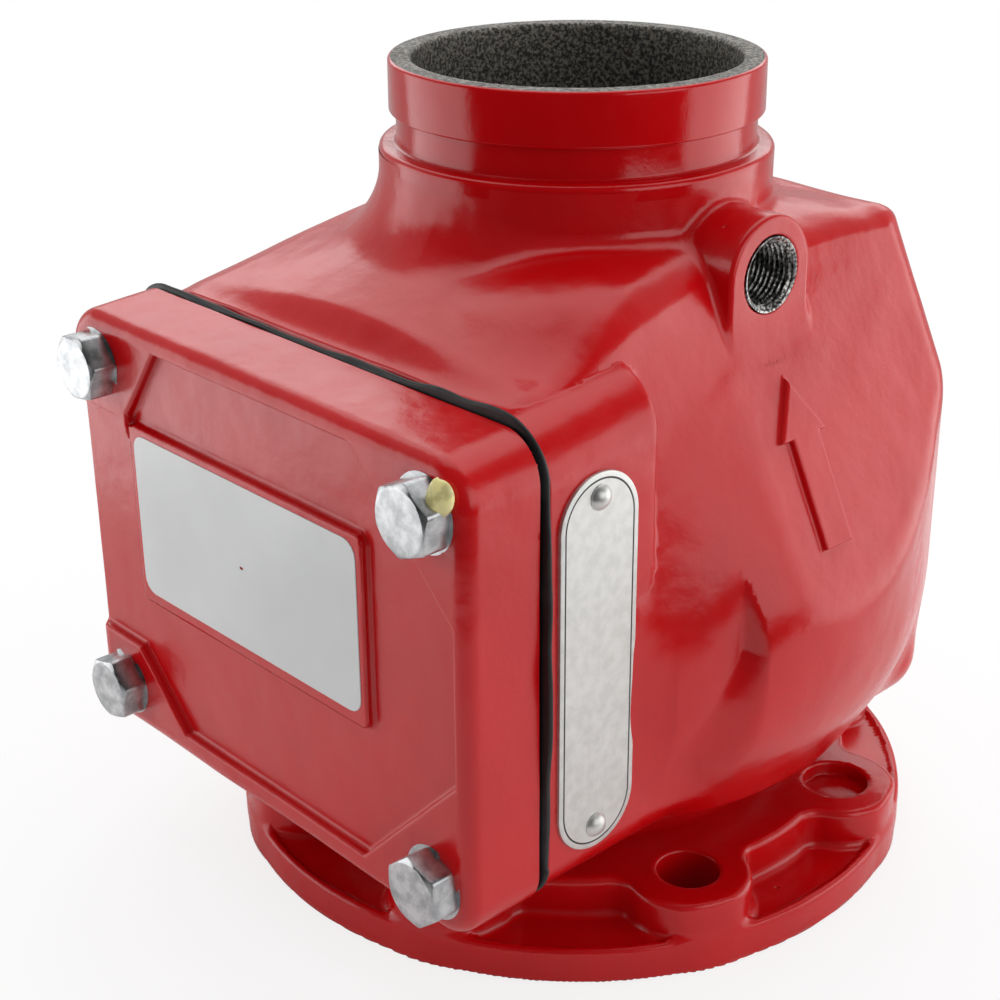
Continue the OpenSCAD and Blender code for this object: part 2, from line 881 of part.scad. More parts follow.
module nameplate() {
  r = plate_w / 2;
  color([0.85, 0.85, 0.85])
    along_x(side_x, side_x + plate_t)
      difference() {
        rounded(box(plate_y - r, plate_low, plate_y + r, plate_high),
          [r - 0.05, r - 0.05, r - 0.05, r - 0.05]);
        for (z = [plate_low + rivet_in, plate_high - rivet_in])
          translate([plate_y, z])
            circle(r = rivet_r + 0.1);
      }
}

// Round headed rivet
module rivet(z) {
  color([0.8, 0.8, 0.8])
    translate([side_x + plate_t, plate_y, z])
      rotate([0, 90, 0]) {
        translate([0, 0, -plate_t - 5])
          cylinder(h = plate_t + 5.5, r = rivet_r);
        intersection() {
          cylinder(h = 2.2, r = 3.6);
          translate([0, 0, -2.2])
            sphere(r = 4.4);
        }
      }
}

module nameplate_rivet_upper() {
  rivet(plate_high - rivet_in);
}

module nameplate_rivet_lower() {
  rivet(plate_low + rivet_in);
}

module cover_label() {
  color([0.93, 0.93, 0.93])
    along_y(cover_front + pad_sink - label_t, cover_front + pad_sink)
      rounded(box(pad_l + label_in, pad_low + 4, pad_r - label_in, pad_high - label_in),
        [label_r, label_r, label_r, label_r]);
}

valve_body();
seat_ring();
seat_seal_inner();
seat_seal_outer();
clapper_arm();
clapper_disc();
clapper_facing();
facing_retainer();
facing_bolt();
disc_washer();
disc_nut();
hinge_pin();
hinge_bushing_front();
hinge_bushing_rear();
hinge_ring_front();
hinge_ring_rear();
handhole_cover();
cover_gasket();
cover_bolt_upper_left();
cover_bolt_upper_right();
cover_bolt_lower_left();
cover_bolt_lower_right();
nameplate();
nameplate_rivet_upper();
nameplate_rivet_lower();
cover_label();
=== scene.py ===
"""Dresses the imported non-return valve: enamelled casting, cover, gasket, bolts, plates and clapper.

Lengths are millimetres in the frame of the part until a mesh is made, and metres from there on.
"""

import logging
import math
from dataclasses import dataclass, field
from enum import Enum
from typing import Callable, Sequence

import bpy
import numpy as np
from mathutils import Matrix


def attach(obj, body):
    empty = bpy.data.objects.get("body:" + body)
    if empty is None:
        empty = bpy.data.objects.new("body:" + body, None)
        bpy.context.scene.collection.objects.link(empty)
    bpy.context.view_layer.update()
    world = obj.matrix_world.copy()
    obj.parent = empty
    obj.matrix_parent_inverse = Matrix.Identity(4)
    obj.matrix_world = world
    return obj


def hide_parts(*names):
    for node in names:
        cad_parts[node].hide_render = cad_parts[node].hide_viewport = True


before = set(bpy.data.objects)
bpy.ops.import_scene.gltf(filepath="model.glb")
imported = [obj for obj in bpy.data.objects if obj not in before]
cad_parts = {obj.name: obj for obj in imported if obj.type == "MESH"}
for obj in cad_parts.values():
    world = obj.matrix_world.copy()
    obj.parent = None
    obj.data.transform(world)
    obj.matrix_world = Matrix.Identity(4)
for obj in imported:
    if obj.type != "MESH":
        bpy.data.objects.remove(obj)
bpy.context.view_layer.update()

LOG = logging.getLogger("valve")
MM = 0.001
TURN = 2 * math.pi
Array = np.ndarray
Field = Callable[[Array, Array, Array], Array]
Socket = bpy.types.NodeSocket
Tree = bpy.types.NodeTree
Color = tuple[float, float, float, float]
SLOPE_STEP = 0.06
LEAST_SLOPE = 0.3
SLAB_CELLS = 12
SURFACE_PASSES = 3
SHARP_ANGLE = math.radians(35)


class Slot(Enum):
    """Material slots of the record."""

    CASTING = "casting"
    STEEL = "steel"
    ZINC = "zinc"
    GASKET = "gasket_rubber"
    PLATE = "plate"
    LABEL = "label"


class Body(Enum):
    """Bodies of the record that new pieces ride on."""

    BASE = "base"


# Distance fields

def round_max(a: Array, b: Array, r: Array | float) -> Array:
    """Cuts one distance field by another and rounds the edge.

    Formula: the length of both distances where they come within r of the edge, less r.

    Args:
        a: First distance, negative inside.
        b: Second distance, negative inside.
        r: Radius of the rounded edge.

    Returns:
        Distance to the common part.
    """
    return np.minimum(-r, np.maximum(a, b)) + np.hypot(np.maximum(a + r, 0), np.maximum(b + r, 0))


def round_min(a: Array, b: Array, r: Array | float) -> Array:
    """Joins two distance fields with a hollow fillet of radius r.

    Args:
        a: First distance, negative inside.
        b: Second distance, negative inside.
        r: Radius of the fillet.

    Returns:
        Distance to the joined form.
    """
    return -round_max(-a, -b, r)


def soft_max(a: Array, b: Array, k: float) -> Array:
    """Cuts one field by another over a shallow edge, blended where they differ by less than k.

    Args:
        a: First distance.
        b: Second distance.
        k: Width of the blend.

    Returns:
        Distance to the common part.
    """
    h = np.maximum(k - np.abs(a - b), 0) / k
    return np.maximum(a, b) + h * h * k / 4


def ease(t: Array) -> Array:
    """A smooth step from 0 to 1: 3 t squared less 2 t cubed, with t held between 0 and 1."""
    t = np.clip(t, 0, 1)
    return t * t * (3 - 2 * t)


def bar(a: Array, b: Array, half_a: float, half_b: float, r: float) -> Array:
    """Distance to a rectangle with round corners, seen along its axis.

    Args:
        a: First coordinate from the middle.
        b: Second coordinate from the middle.
        half_a: Half of the first side.
        half_b: Half of the second side.
        r: Corner radius.

    Returns:
        Distance, negative inside.
    """
    qa = np.abs(a) - half_a + r
    qb = np.abs(b) - half_b + r
    return np.hypot(np.maximum(qa, 0), np.maximum(qb, 0)) + np.minimum(np.maximum(qa, qb), 0) - r


def outline(a: Array, b: Array, corners: Sequence[tuple[float, float]]) -> Array:
    """Distance to a closed outline: the nearest edge, with its sign from a crossing count.

    Args:
        a: First coordinate.
        b: Second coordinate.
        corners: Corners of the outline in order.

    Returns:
        Distance, negative inside.
    """
    near = np.full(np.broadcast_shapes(a.shape, b.shape), 1e9)
    sign = np.ones_like(near)
    for (a0, b0), (a1, b1) in zip(corners, corners[1:] + corners[:1]):
        ea, eb = a1 - a0, b1 - b0
        t = np.clip(((a - a0) * ea + (b - b0) * eb) / (ea * ea + eb * eb), 0, 1)
        near = np.minimum(near, (a - a0 - ea * t) ** 2 + (b - b0 - eb * t) ** 2)
        above, below, left = b >= b0, b < b1, ea * (b - b0) > eb * (a - a0)
        sign = np.where((above & below & left) | (~above & ~below & ~left), -sign, sign)
    return sign * np.sqrt(near)


def ripple(x: Array, y: Array, z: Array, wave: float) -> Array:
    """Slow unevenness of a sand casting: three crossed sine waves of unit height.

    Args:
        x: Coordinate across.
        y: Coordinate along.
        z: Coordinate up.
        wave: Length of the shortest wave.

    Returns:
        Height, between about -1 and 1.
    """
    k = TURN / wave
    a = np.sin(k * (0.71 * x + 0.33 * z) + 1.3 * np.sin(0.41 * k * y))
    b = np.sin(k * (0.62 * y - 0.45 * z) + 1.7 * np.sin(0.37 * k * x + 1))
    c = np.sin(k * 0.6 * (x - y + z) + 1.1 * np.sin(0.52 * k * z + 2))
    return (a + b + c) / 3


# Meshes

@dataclass
class Skin:
    """A mesh in the making, in millimetres."""

    points: Array
    faces: Array
    normals: Array | None = None

    def flipped(self) -> "Skin":
        """The same surface with its faces turned over."""
        return Skin(self.points, self.faces[:, ::-1], None if self.normals is None else -self.normals)

    def kept(self, mask: Callable[[Array], Array]) -> "Skin":
        """The faces whose middles pass a test.

        Args:
            mask: Takes middles as rows of x, y, z and returns True where a face stays.

        Returns:
            The surface that is left, with unused points dropped.
        """
        faces = self.faces[mask(self.points[self.faces].mean(1))]
        used = np.zeros(len(self.points), bool)
        used[faces] = True
        index = np.cumsum(used) - 1
        normals = None if self.normals is None else self.normals[used]
        return Skin(self.points[used], index[faces], normals)


def grid(points: Array, wrap_rows: bool = False, wrap_columns: bool = False) -> Skin:
    """Joins a grid of points with squares.

    Args:
        points: Rows by columns by 3.
        wrap_rows: The last row meets the first.
        wrap_columns: The last column meets the first.

    Returns:
        The surface. With rows going up and columns anticlockwise it faces outwards.
    """
    rows, columns = points.shape[:2]
    index = np.arange(rows * columns).reshape(rows, columns)
    if wrap_rows:
        index = np.vstack([index, index[:1]])
    if wrap_columns:
        index = np.hstack([index, index[:, :1]])
    corners = [index[:-1, :-1], index[:-1, 1:], index[1:, 1:], index[1:, :-1]]
    return Skin(points.reshape(-1, 3), np.stack(corners, -1).reshape(-1, 4))


def turned(profile: Sequence[tuple[float, float]], steps: int, axis: str = "z") -> Skin:
    """A profile turned about an axis: point = (r cos angle, r sin angle, height).

    Args:
        profile: Radius and height, going round its section anticlockwise.
        steps: Columns in a full turn.
        axis: "z", or "x" or "-x" to lay the turned form along X.

    Returns:
        The surface.
    """
    r, h = np.array(profile, float).T
    angle = np.arange(steps) / steps * TURN
    across, along = np.outer(r, np.cos(angle)), np.outer(r, np.sin(angle))
    high = np.repeat(h[:, None], steps, 1)
    if axis == "z":
        return grid(np.stack([across, along, high], -1), wrap_columns=True)
    if axis == "x":
        return grid(np.stack([high, across, along], -1), wrap_columns=True)
    return grid(np.stack([-high, -across, along], -1), wrap_columns=True)


def arc(centre: tuple[float, float], r: float, start: float, end: float,
        steps: int) -> list[tuple[float, float]]:
    """Points on an arc: centre + r (cos, sin).

    Args:
        centre: Middle of the arc.
        r: Radius.
        start: First angle in degrees.
        end: Last angle in degrees.
        steps: Spaces between points.

    Returns:
        The points in order.
    """
    a = np.radians(np.linspace(start, end, steps + 1))
    return list(zip(centre[0] + r * np.cos(a), centre[1] + r * np.sin(a)))


def slope(shape: Field, points: Array) -> tuple[Array, Array]:
    """A field's value and its unit direction of growth, by central differences.

    Args:
        shape: The distance field.
        points: Rows of x, y, z.

    Returns:
        Values and directions.
    """
    steps = np.eye(3) * SLOPE_STEP
    rise = [shape(*(points + s).T) - shape(*(points - s).T) for s in steps]
    grown = np.stack(rise, -1) / (2 * SLOPE_STEP)
    size = np.linalg.norm(grown, axis=1, keepdims=True)
    return shape(*points.T) / np.maximum(size[:, 0], LEAST_SLOPE), grown / np.maximum(size, 1e-6)


def shell(shape: Field, low: Sequence[float], high: Sequence[float], step: float) -> Skin:
    """The surface where a distance field is zero.

    Formula: a cell that the surface crosses gets the mean of its edges' crossings, which is then
    moved onto the surface along the field's slope, and four cells round a crossed edge make a face.

    Args:
        shape: The distance field, negative inside.
        low: Lowest corner of the region.
        high: Highest corner of the region.
        step: Size of a cell.

    Returns:
        The surface, open at the region's sides, with the field's own normals.
    """
    xs, ys, zs = (np.arange(a, b + step, step) for a, b in zip(low, high))
    slabs = [shape(part[:, None, None], ys[None, :, None], zs[None, None, :])
             for part in np.array_split(xs, max(1, len(xs) // SLAB_CELLS))]
    d = np.concatenate([np.broadcast_to(s, (s.shape[0], len(ys), len(zs))) for s in slabs]).astype(np.float32)
    solid = d < 0
    corner = np.array([(i, j, k) for i in (0, 1) for j in (0, 1) for k in (0, 1)])
    n = np.array(d.shape) - 1
    count = sum(solid[i:i + n[0], j:j + n[1], k:k + n[2]].astype(np.int8) for i, j, k in corner)
    active = (count > 0) & (count < 8)
    cells = np.argwhere(active)
    index = np.full(active.shape, -1, np.int64)
    index[active] = np.arange(len(cells))
    at = cells[:, None, :] + corner[None]
    value = d[at[..., 0], at[..., 1], at[..., 2]]
    pairs = np.array([(a, b) for a in range(8) for b in range(8)
                      if a < b and np.abs(corner[a] - corner[b]).sum() == 1])
    a, b = value[:, pairs[:, 0]], value[:, pairs[:, 1]]
    crossed = (a < 0) != (b < 0)
    t = np.where(crossed, a / np.where(crossed, a - b, 1), 0)
    place = corner[pairs[:, 0]] + t[..., None] * (corner[pairs[:, 1]] - corner[pairs[:, 0]])
    mean = (place * crossed[..., None]).sum(1) / crossed.sum(1)[:, None]
    points = np.array(low) + step * (cells + mean)
    for _ in range(SURFACE_PASSES):
        away, normal = slope(shape, points)
        points = points - np.clip(away, -step, step)[:, None] * normal
    faces = []
    for axis in range(3):
        b_axis, c_axis = (axis + 1) % 3, (axis + 2) % 3
        first = np.take(solid, range(n[axis]), axis)
        second = np.take(solid, range(1, n[axis] + 1), axis)
        edge = np.argwhere(first != second)
        inner = (edge[:, b_axis] > 0) & (edge[:, c_axis] > 0)
        inner &= (edge[:, b_axis] < n[b_axis]) & (edge[:, c_axis] < n[c_axis])
        edge = edge[inner]
        quad = []
        for db, dc in ((-1, -1), (0, -1), (0, 0), (-1, 0)):
            cell = edge.copy()
            cell[:, b_axis] += db
            cell[:, c_axis] += dc
            quad.append(index[cell[:, 0], cell[:, 1], cell[:, 2]])
        quad = np.stack(quad, -1)
        outward = first[edge[:, 0], edge[:, 1], edge[:, 2]]
        faces.append(np.where(outward[:, None], quad, quad[:, ::-1]))
    return Skin(points, np.vstack(faces), slope(shape, points)[1])


def piece(name: str, skin: Skin, material: bpy.types.Material, slot: Slot,
          stands_for: Sequence[str] = (), body: Body = Body.BASE) -> bpy.types.Object:
    """Makes an object from a surface and hangs it on its body.

    Args:
        name: Name of the piece.
        skin: The surface in millimetres.
        material: Its finish.
        slot: The record's material slot; not used.
        stands_for: CAD nodes that the piece stands for.
        body: The body that it rides on.

    Returns:
        The object.
    """
    mesh = bpy.data.meshes.new(name)
    mesh.vertices.add(len(skin.points))
    mesh.vertices.foreach_set("co", (skin.points * MM).astype(np.float32).ravel())
    mesh.loops.add(skin.faces.size)
    mesh.loops.foreach_set("vertex_index", skin.faces.astype(np.int32).ravel())
    mesh.polygons.add(len(skin.faces))
    sides = skin.faces.shape[1]
    mesh.polygons.foreach_set("loop_start", np.arange(len(skin.faces), dtype=np.int32) * sides)
    mesh.update(calc_edges=True)
    mesh.validate()
    mesh.shade_smooth()
    if skin.normals is None:
        mesh.set_sharp_from_angle(angle=SHARP_ANGLE)
    else:
        mesh.normals_split_custom_set_from_vertices(skin.normals.tolist())
    mesh.materials.append(material)
    made = bpy.data.objects.new(name, mesh)
    bpy.context.scene.collection.objects.link(made)
    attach(made, body.value)
    if stands_for:
        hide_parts(*stands_for)
    LOG.info("%s: %d faces", name, len(skin.faces))
    return made


# Finishes

def feed(tree: Tree, socket: Socket, value: object) -> None:
    """Links a socket to another, or sets its number or colour.

    Args:
        tree: The node tree.
        socket: The input.
        value: An output socket, a number, or a colour.
    """
    if isinstance(value, bpy.types.NodeSocket):
        tree.links.new(value, socket)
    else:
        socket.default_value = value


def node(tree: Tree, kind: str, inputs: dict[str | int, object] | None = None,
         **settings: object) -> bpy.types.Node:
    """Adds a node with its settings and inputs.

    Args:
        tree: The node tree.
        kind: Blender's name for the node type.
        inputs: Values or sockets by input name or number.
        settings: The node's own properties.

    Returns:
        The node.
    """
    made = tree.nodes.new(kind)
    for name, value in settings.items():
        setattr(made, name, value)
    for name, value in (inputs or {}).items():
        feed(tree, made.inputs[name], value)
    return made


def maths(tree: Tree, operation: str, *values: object) -> Socket:
    """A Math node's result for the given values or sockets."""
    return node(tree, "ShaderNodeMath", dict(enumerate(values)), operation=operation).outputs[0]


def ramp(tree: Tree, value: Socket, low: float, high: float) -> Socket:
    """0 below low, 1 above high, smooth between. low may be above high."""
    made = node(tree, "ShaderNodeMapRange", {"Value": value, "From Min": low, "From Max": high},
                interpolation_type="SMOOTHSTEP")
    return made.outputs["Result"]


def blend(tree: Tree, share: object, first: object, second: object) -> Socket:
    """A colour between two, by a share from 0 to 1."""
    made = node(tree, "ShaderNodeMix", {0: share, 6: first, 7: second}, data_type="RGBA")
    return made.outputs[2]


def noise(tree: Tree, place: Socket, scale: float | Socket, detail: float = 2.0,
          rough: float = 0.5) -> Socket:
    """A noise value at a place, with scale in features per metre."""
    inputs = {"Vector": place, "Scale": scale, "Detail": detail, "Roughness": rough}
    return node(tree, "ShaderNodeTexNoise", inputs).outputs[0]


def place_of(tree: Tree) -> Socket:
    """The Object coordinates of the piece."""
    return node(tree, "ShaderNodeTexCoord").outputs["Object"]


def group(name: str, inputs: dict[str, tuple[str, float | None]], outputs: dict[str, str]) -> Tree:
    """An empty shader node group with its sockets.

    Args:
        name: The group's name.
        inputs: Kind and first value of each input.
        outputs: Kind of each output.

    Returns:
        The group's tree, with a Group Input and a Group Output node in it.
    """
    tree = bpy.data.node_groups.new(name, "ShaderNodeTree")
    for label, (kind, start) in inputs.items():
        socket = tree.interface.new_socket(label, in_out="INPUT", socket_type=kind)
        if start is not None:
            socket.default_value = start
    for label, kind in outputs.items():
        tree.interface.new_socket(label, in_out="OUTPUT", socket_type=kind)
    tree.nodes.new("NodeGroupInput")
    tree.nodes.new("NodeGroupOutput")
    return tree


def skin_group() -> Tree:
    """Height of a brushed or poured skin: a slow wave, a fine peel and sunk pits.

    Returns:
        The group, with Wave, Peel and Pits depths in millimetres, and a height in millimetres.
    """
    found = bpy.data.node_groups.get("poured_skin")
    if found:
        return found
    tree = group("poured_skin",
                 {"Place": ("NodeSocketVector", None), "Wave": ("NodeSocketFloat", 0.1),
                  "Peel": ("NodeSocketFloat", 0.02), "Pits": ("NodeSocketFloat", 0.3)},
                 {"Height": "NodeSocketFloat", "Pit Mask": "NodeSocketFloat"})
    given, out = tree.nodes[0].outputs, tree.nodes[1].inputs
    wave = noise(tree, given["Place"], 85.0, 3.5, 0.42)
    peel = noise(tree, given["Place"], 900.0, 3.0, 0.7)
    cells = node(tree, "ShaderNodeTexVoronoi", {"Vector": given["Place"], "Scale": 55.0})
    chance = noise(tree, given["Place"], 28.0, 0.0)
    close = ramp(tree, cells.outputs["Distance"], 0.055, 0.03)
    pit = maths(tree, "MULTIPLY", close, ramp(tree, chance, 0.58, 0.62))
    height = maths(tree, "MULTIPLY", wave, given["Wave"])
    height = maths(tree, "MULTIPLY_ADD", peel, given["Peel"], height)
    sunk = maths(tree, "MULTIPLY", pit, given["Pits"])
    feed(tree, out["Height"], maths(tree, "SUBTRACT", height, sunk))
    feed(tree, out["Pit Mask"], pit)
    return tree


def fleck_group() -> Tree:
    """Ragged flecks: a noise cut off at a level, for chips, overspray and rust.

    Returns:
        The group, with a Scale in flecks per metre and an Amount from 0 to 1.
    """
    found = bpy.data.node_groups.get("flecks")
    if found:
        return found
    tree = group("flecks",
                 {"Place": ("NodeSocketVector", None), "Scale": ("NodeSocketFloat", 200.0),
                  "Amount": ("NodeSocketFloat", 0.3)},
                 {"Mask": "NodeSocketFloat"})
    given, out = tree.nodes[0].outputs, tree.nodes[1].inputs
    speck = noise(tree, given["Place"], given["Scale"], 5.0, 0.62)
    level = maths(tree, "MULTIPLY_ADD", given["Amount"], -0.5, 0.78)
    over = maths(tree, "MULTIPLY", 12.0, maths(tree, "SUBTRACT", speck, level))
    feed(tree, out["Mask"], maths(tree, "SMOOTH_MAX", over, 0.0, 0.1))
    return tree


def use(tree: Tree, made: Tree, inputs: dict[str, object]) -> bpy.types.Node:
    """Places a node group in a material with its own values.

    Args:
        tree: The material's tree.
        made: The group's tree.
        inputs: Values or sockets by input name.

    Returns:
        The group's node.
    """
    found = node(tree, "ShaderNodeGroup", node_tree=made)
    for name, value in inputs.items():
        feed(tree, found.inputs[name], value)
    return found


def dimmed(color: Color, share: float) -> Color:
    """A colour darkened to a share of itself, still opaque."""
    return tuple(share * c for c in color[:3]) + (1.0,)


@dataclass(frozen=True)
class Finish:
    """Common part of every finish: a material with a Principled shader."""

    name: str
    color: Color = (0.8, 0.8, 0.8, 1.0)
    roughness: float = 0.4
    metallic: float = 0.0

    def start(self) -> tuple[Tree, bpy.types.Node]:
        """Starts the material.

        Returns:
            Its node tree and its Principled node.
        """
        made = bpy.data.materials.new(self.name)
        made.use_nodes = True
        tree = made.node_tree
        shader = tree.nodes["Principled BSDF"]
        shader.inputs["Base Color"].default_value = self.color
        shader.inputs["Roughness"].default_value = self.roughness
        shader.inputs["Metallic"].default_value = self.metallic
        return tree, shader

    def relief(self, tree: Tree, shader: bpy.types.Node, height: Socket) -> None:
        """Feeds a height in millimetres to the shader's normal."""
        bump = node(tree, "ShaderNodeBump", {"Height": height, "Distance": MM, "Strength": 1.0})
        feed(tree, shader.inputs["Normal"], bump.outputs[0])


@dataclass(frozen=True)
class Enamel(Finish):
    """Thick gloss enamel poured over a sand casting."""

    # The darker red: random clouds, and painted shade in the pits.
    deep: Color = (0.40, 0.001, 0.002, 1.0)
    wave: float = 0.5
    peel: float = 0.045
    pits: float = 0.35

    def make(self) -> bpy.types.Material:
        """Red, clouded darker at random, with a darker red painted into the pits as their shade, under a wavy
        gloss skin.

        Returns:
            The material.
        """
        tree, shader = self.start()
        place = place_of(tree)
        depths = {"Wave": self.wave, "Peel": self.peel, "Pits": self.pits}
        skin = use(tree, skin_group(), {"Place": place, **depths})
        cloud = ramp(tree, noise(tree, place, 30.0, 3.0), 0.35, 0.7)
        # Random clouds darken the red a little; the pits get the full darker red as painted shade.
        tone_and_pit_shade = maths(tree, "MAXIMUM", maths(tree, "MULTIPLY", cloud, 0.35), skin.outputs["Pit Mask"])
        feed(tree, shader.inputs["Base Color"], blend(tree, tone_and_pit_shade, self.color, self.deep))
        dull = noise(tree, place, 140.0, 3.0)
        feed(tree, shader.inputs["Roughness"], maths(tree, "MULTIPLY_ADD", dull, 0.12, self.roughness - 0.06))
        self.relief(tree, shader, skin.outputs["Height"])
        return bpy.data.materials[self.name]


@dataclass(frozen=True)
class BareIron(Finish):
    """Unpainted iron: a grainy grey skin with brown flecks."""

    rust: Color = (0.16, 0.075, 0.035, 1.0)
    dark: Color = (0.035, 0.034, 0.033, 1.0)
    grain: float = 0.35
    rusty: float = 0.25

    def make(self) -> bpy.types.Material:
        """Grey and dark grains under a little rust.

        Returns:
            The material.
        """
        tree, shader = self.start()
        place = place_of(tree)
        fine = noise(tree, place, 900.0, 4.0, 0.7)
        slow = noise(tree, place, 60.0, 3.0)
        tone = blend(tree, ramp(tree, fine, 0.42, 0.62), self.dark, self.color)
        flecks = use(tree, fleck_group(), {"Place": place, "Scale": 160.0, "Amount": self.rusty})
        mask = maths(tree, "MINIMUM", flecks.outputs[0], 0.8)
        feed(tree, shader.inputs["Base Color"], blend(tree, mask, tone, self.rust))
        feed(tree, shader.inputs["Roughness"], maths(tree, "MULTIPLY_ADD", slow, 0.3, self.roughness - 0.15))
        self.relief(tree, shader, maths(tree, "MULTIPLY", fine, self.grain))
        return bpy.data.materials[self.name]


@dataclass(frozen=True)
class Plated(Finish):
    """Zinc plate or turned metal: mottled, with red overspray where amount is above 0."""

    dull: Color = (0.5, 0.51, 0.53, 1.0)
    spray: Color = (0.42, 0.01, 0.03, 1.0)
    amount: float = 0.0
    grain: float = 0.05

    def make(self) -> bpy.types.Material:
        """Mottled metal with flecks of paint that aren't metallic.

        Returns:
            The material.
        """
        tree, shader = self.start()
        place = place_of(tree)
        mottle = noise(tree, place, 260.0, 4.0, 0.6)
        tone = blend(tree, ramp(tree, mottle, 0.3, 0.7), self.dull, self.color)
        flecks = use(tree, fleck_group(), {"Place": place, "Scale": 230.0, "Amount": self.amount})
        sprayed = maths(tree, "MULTIPLY", flecks.outputs[0], min(1.0, self.amount * 50))
        mask = maths(tree, "MINIMUM", sprayed, 1.0)
        feed(tree, shader.inputs["Base Color"], blend(tree, mask, tone, self.spray))
        metal = maths(tree, "MULTIPLY_ADD", mask, -self.metallic, self.metallic)
        feed(tree, shader.inputs["Metallic"], metal)
        worn = maths(tree, "MULTIPLY_ADD", mottle, 0.25, self.roughness - 0.12)
        feed(tree, shader.inputs["Roughness"], worn)
        self.relief(tree, shader, maths(tree, "MULTIPLY", mottle, self.grain))
        return bpy.data.materials[self.name]


@dataclass(frozen=True)
class Rubber(Finish):
    """Black sheet rubber with a faint bloom."""

    bloom: Color = (0.02, 0.02, 0.022, 1.0)

    def make(self) -> bpy.types.Material:
        """Black with grey patches and a slow unevenness.

        Returns:
            The material.
        """
        tree, shader = self.start()
        place = place_of(tree)
        patch = noise(tree, place, 70.0, 4.0)
        tone = blend(tree, ramp(tree, patch, 0.5, 0.72), self.color, self.bloom)
        feed(tree, shader.inputs["Base Color"], tone)
        self.relief(tree, shader, maths(tree, "MULTIPLY", noise(tree, place, 300.0, 3.0), 0.12))
        return bpy.data.materials[self.name]


@dataclass(frozen=True)
class Film(Finish):
    """Printed film, left blank, with a few flecks of the paint under it."""

    fleck: Color = (0.35, 0.01, 0.015, 1.0)

    def make(self) -> bpy.types.Material:
        """Pale grey film with a faint cloud and small red chips.

        Returns:
            The material.
        """
        tree, shader = self.start()
        place = place_of(tree)
        cloud = ramp(tree, noise(tree, place, 25.0, 2.0), 0.3, 0.75)
        tone = blend(tree, cloud, self.color, dimmed(self.color, 0.9))
        flecks = use(tree, fleck_group(), {"Place": place, "Scale": 75.0, "Amount": 0.12})
        mask = maths(tree, "MINIMUM", flecks.outputs[0], 1.0)
        feed(tree, shader.inputs["Base Color"], blend(tree, mask, tone, self.fleck))
        self.relief(tree, shader, maths(tree, "MULTIPLY", noise(tree, place, 120.0, 2.0), 0.05))
        return bpy.data.materials[self.name]


@dataclass(frozen=True)
class Glue(Finish):
    """Hardened yellow thread glue."""

    def make(self) -> bpy.types.Material:
        """Cloudy yellow that lets some light in.

        Returns:
            The material.
        """
        tree, shader = self.start()
        shader.inputs["Subsurface Weight"].default_value = 0.4
        shader.inputs["Subsurface Radius"].default_value = (0.004, 0.003, 0.001)
        place = place_of(tree)
        cloud = noise(tree, place, 300.0, 3.0)
        tone = blend(tree, ramp(tree, cloud, 0.4, 0.65), self.color, dimmed(self.color, 0.7))
        feed(tree, shader.inputs["Base Color"], tone)
        self.relief(tree, shader, maths(tree, "MULTIPLY", cloud, 0.2))
        return bpy.data.materials[self.name]


@dataclass
class Finishes:
    """Every finish of the valve, made once."""

    enamel: bpy.types.Material = field(default_factory=lambda: Enamel(
        "red_enamel", (0.52, 0.001, 0.003, 1.0), 0.23).make())
    smooth: bpy.types.Material = field(default_factory=lambda: Enamel(
        "red_enamel_turned", (0.5, 0.001, 0.003, 1.0), 0.13, wave=0.22, pits=0.2).make())
    iron: bpy.types.Material = field(default_factory=lambda: BareIron(
        "bare_iron", (0.27, 0.25, 0.215, 1.0), 0.55, 0.5).make())
    thread: bpy.types.Material = field(default_factory=lambda: BareIron(
        "cut_iron", (0.55, 0.54, 0.52, 1.0), 0.32, 0.9, grain=0.03, rusty=0.05).make())
    zinc: bpy.types.Material = field(default_factory=lambda: Plated(
        "zinc_plate", (0.6, 0.61, 0.62, 1.0), 0.34, 1.0, dull=(0.34, 0.35, 0.36, 1.0), amount=0.12,
        grain=0.09).make())
    steel: bpy.types.Material = field(default_factory=lambda: Plated(
        "turned_steel", (0.62, 0.61, 0.6, 1.0), 0.3, 1.0, grain=0.02).make())
    bronze: bpy.types.Material = field(default_factory=lambda: Plated(
        "bronze", (0.66, 0.45, 0.2, 1.0), 0.32, 1.0, dull=(0.42, 0.27, 0.12, 1.0), grain=0.02).make())
    rubber: bpy.types.Material = field(default_factory=lambda: Rubber(
        "sheet_rubber", (0.004, 0.004, 0.005, 1.0), 0.5).make())
    plate: bpy.types.Material = field(default_factory=lambda: Plated(
        "satin_plate", (0.68, 0.68, 0.66, 1.0), 0.42, 0.85, dull=(0.58, 0.58, 0.56, 1.0), grain=0.03).make())
    border: bpy.types.Material = field(default_factory=lambda: Rubber(
        "printed_line", (0.02, 0.02, 0.02, 1.0), 0.5).make())
    film: bpy.types.Material = field(default_factory=lambda: Film(
        "label_film", (0.66, 0.67, 0.67, 1.0), 0.4).make())
    glue: bpy.types.Material = field(default_factory=lambda: Glue(
        "thread_glue", (0.84, 0.76, 0.36, 1.0), 0.18).make())


# The casting

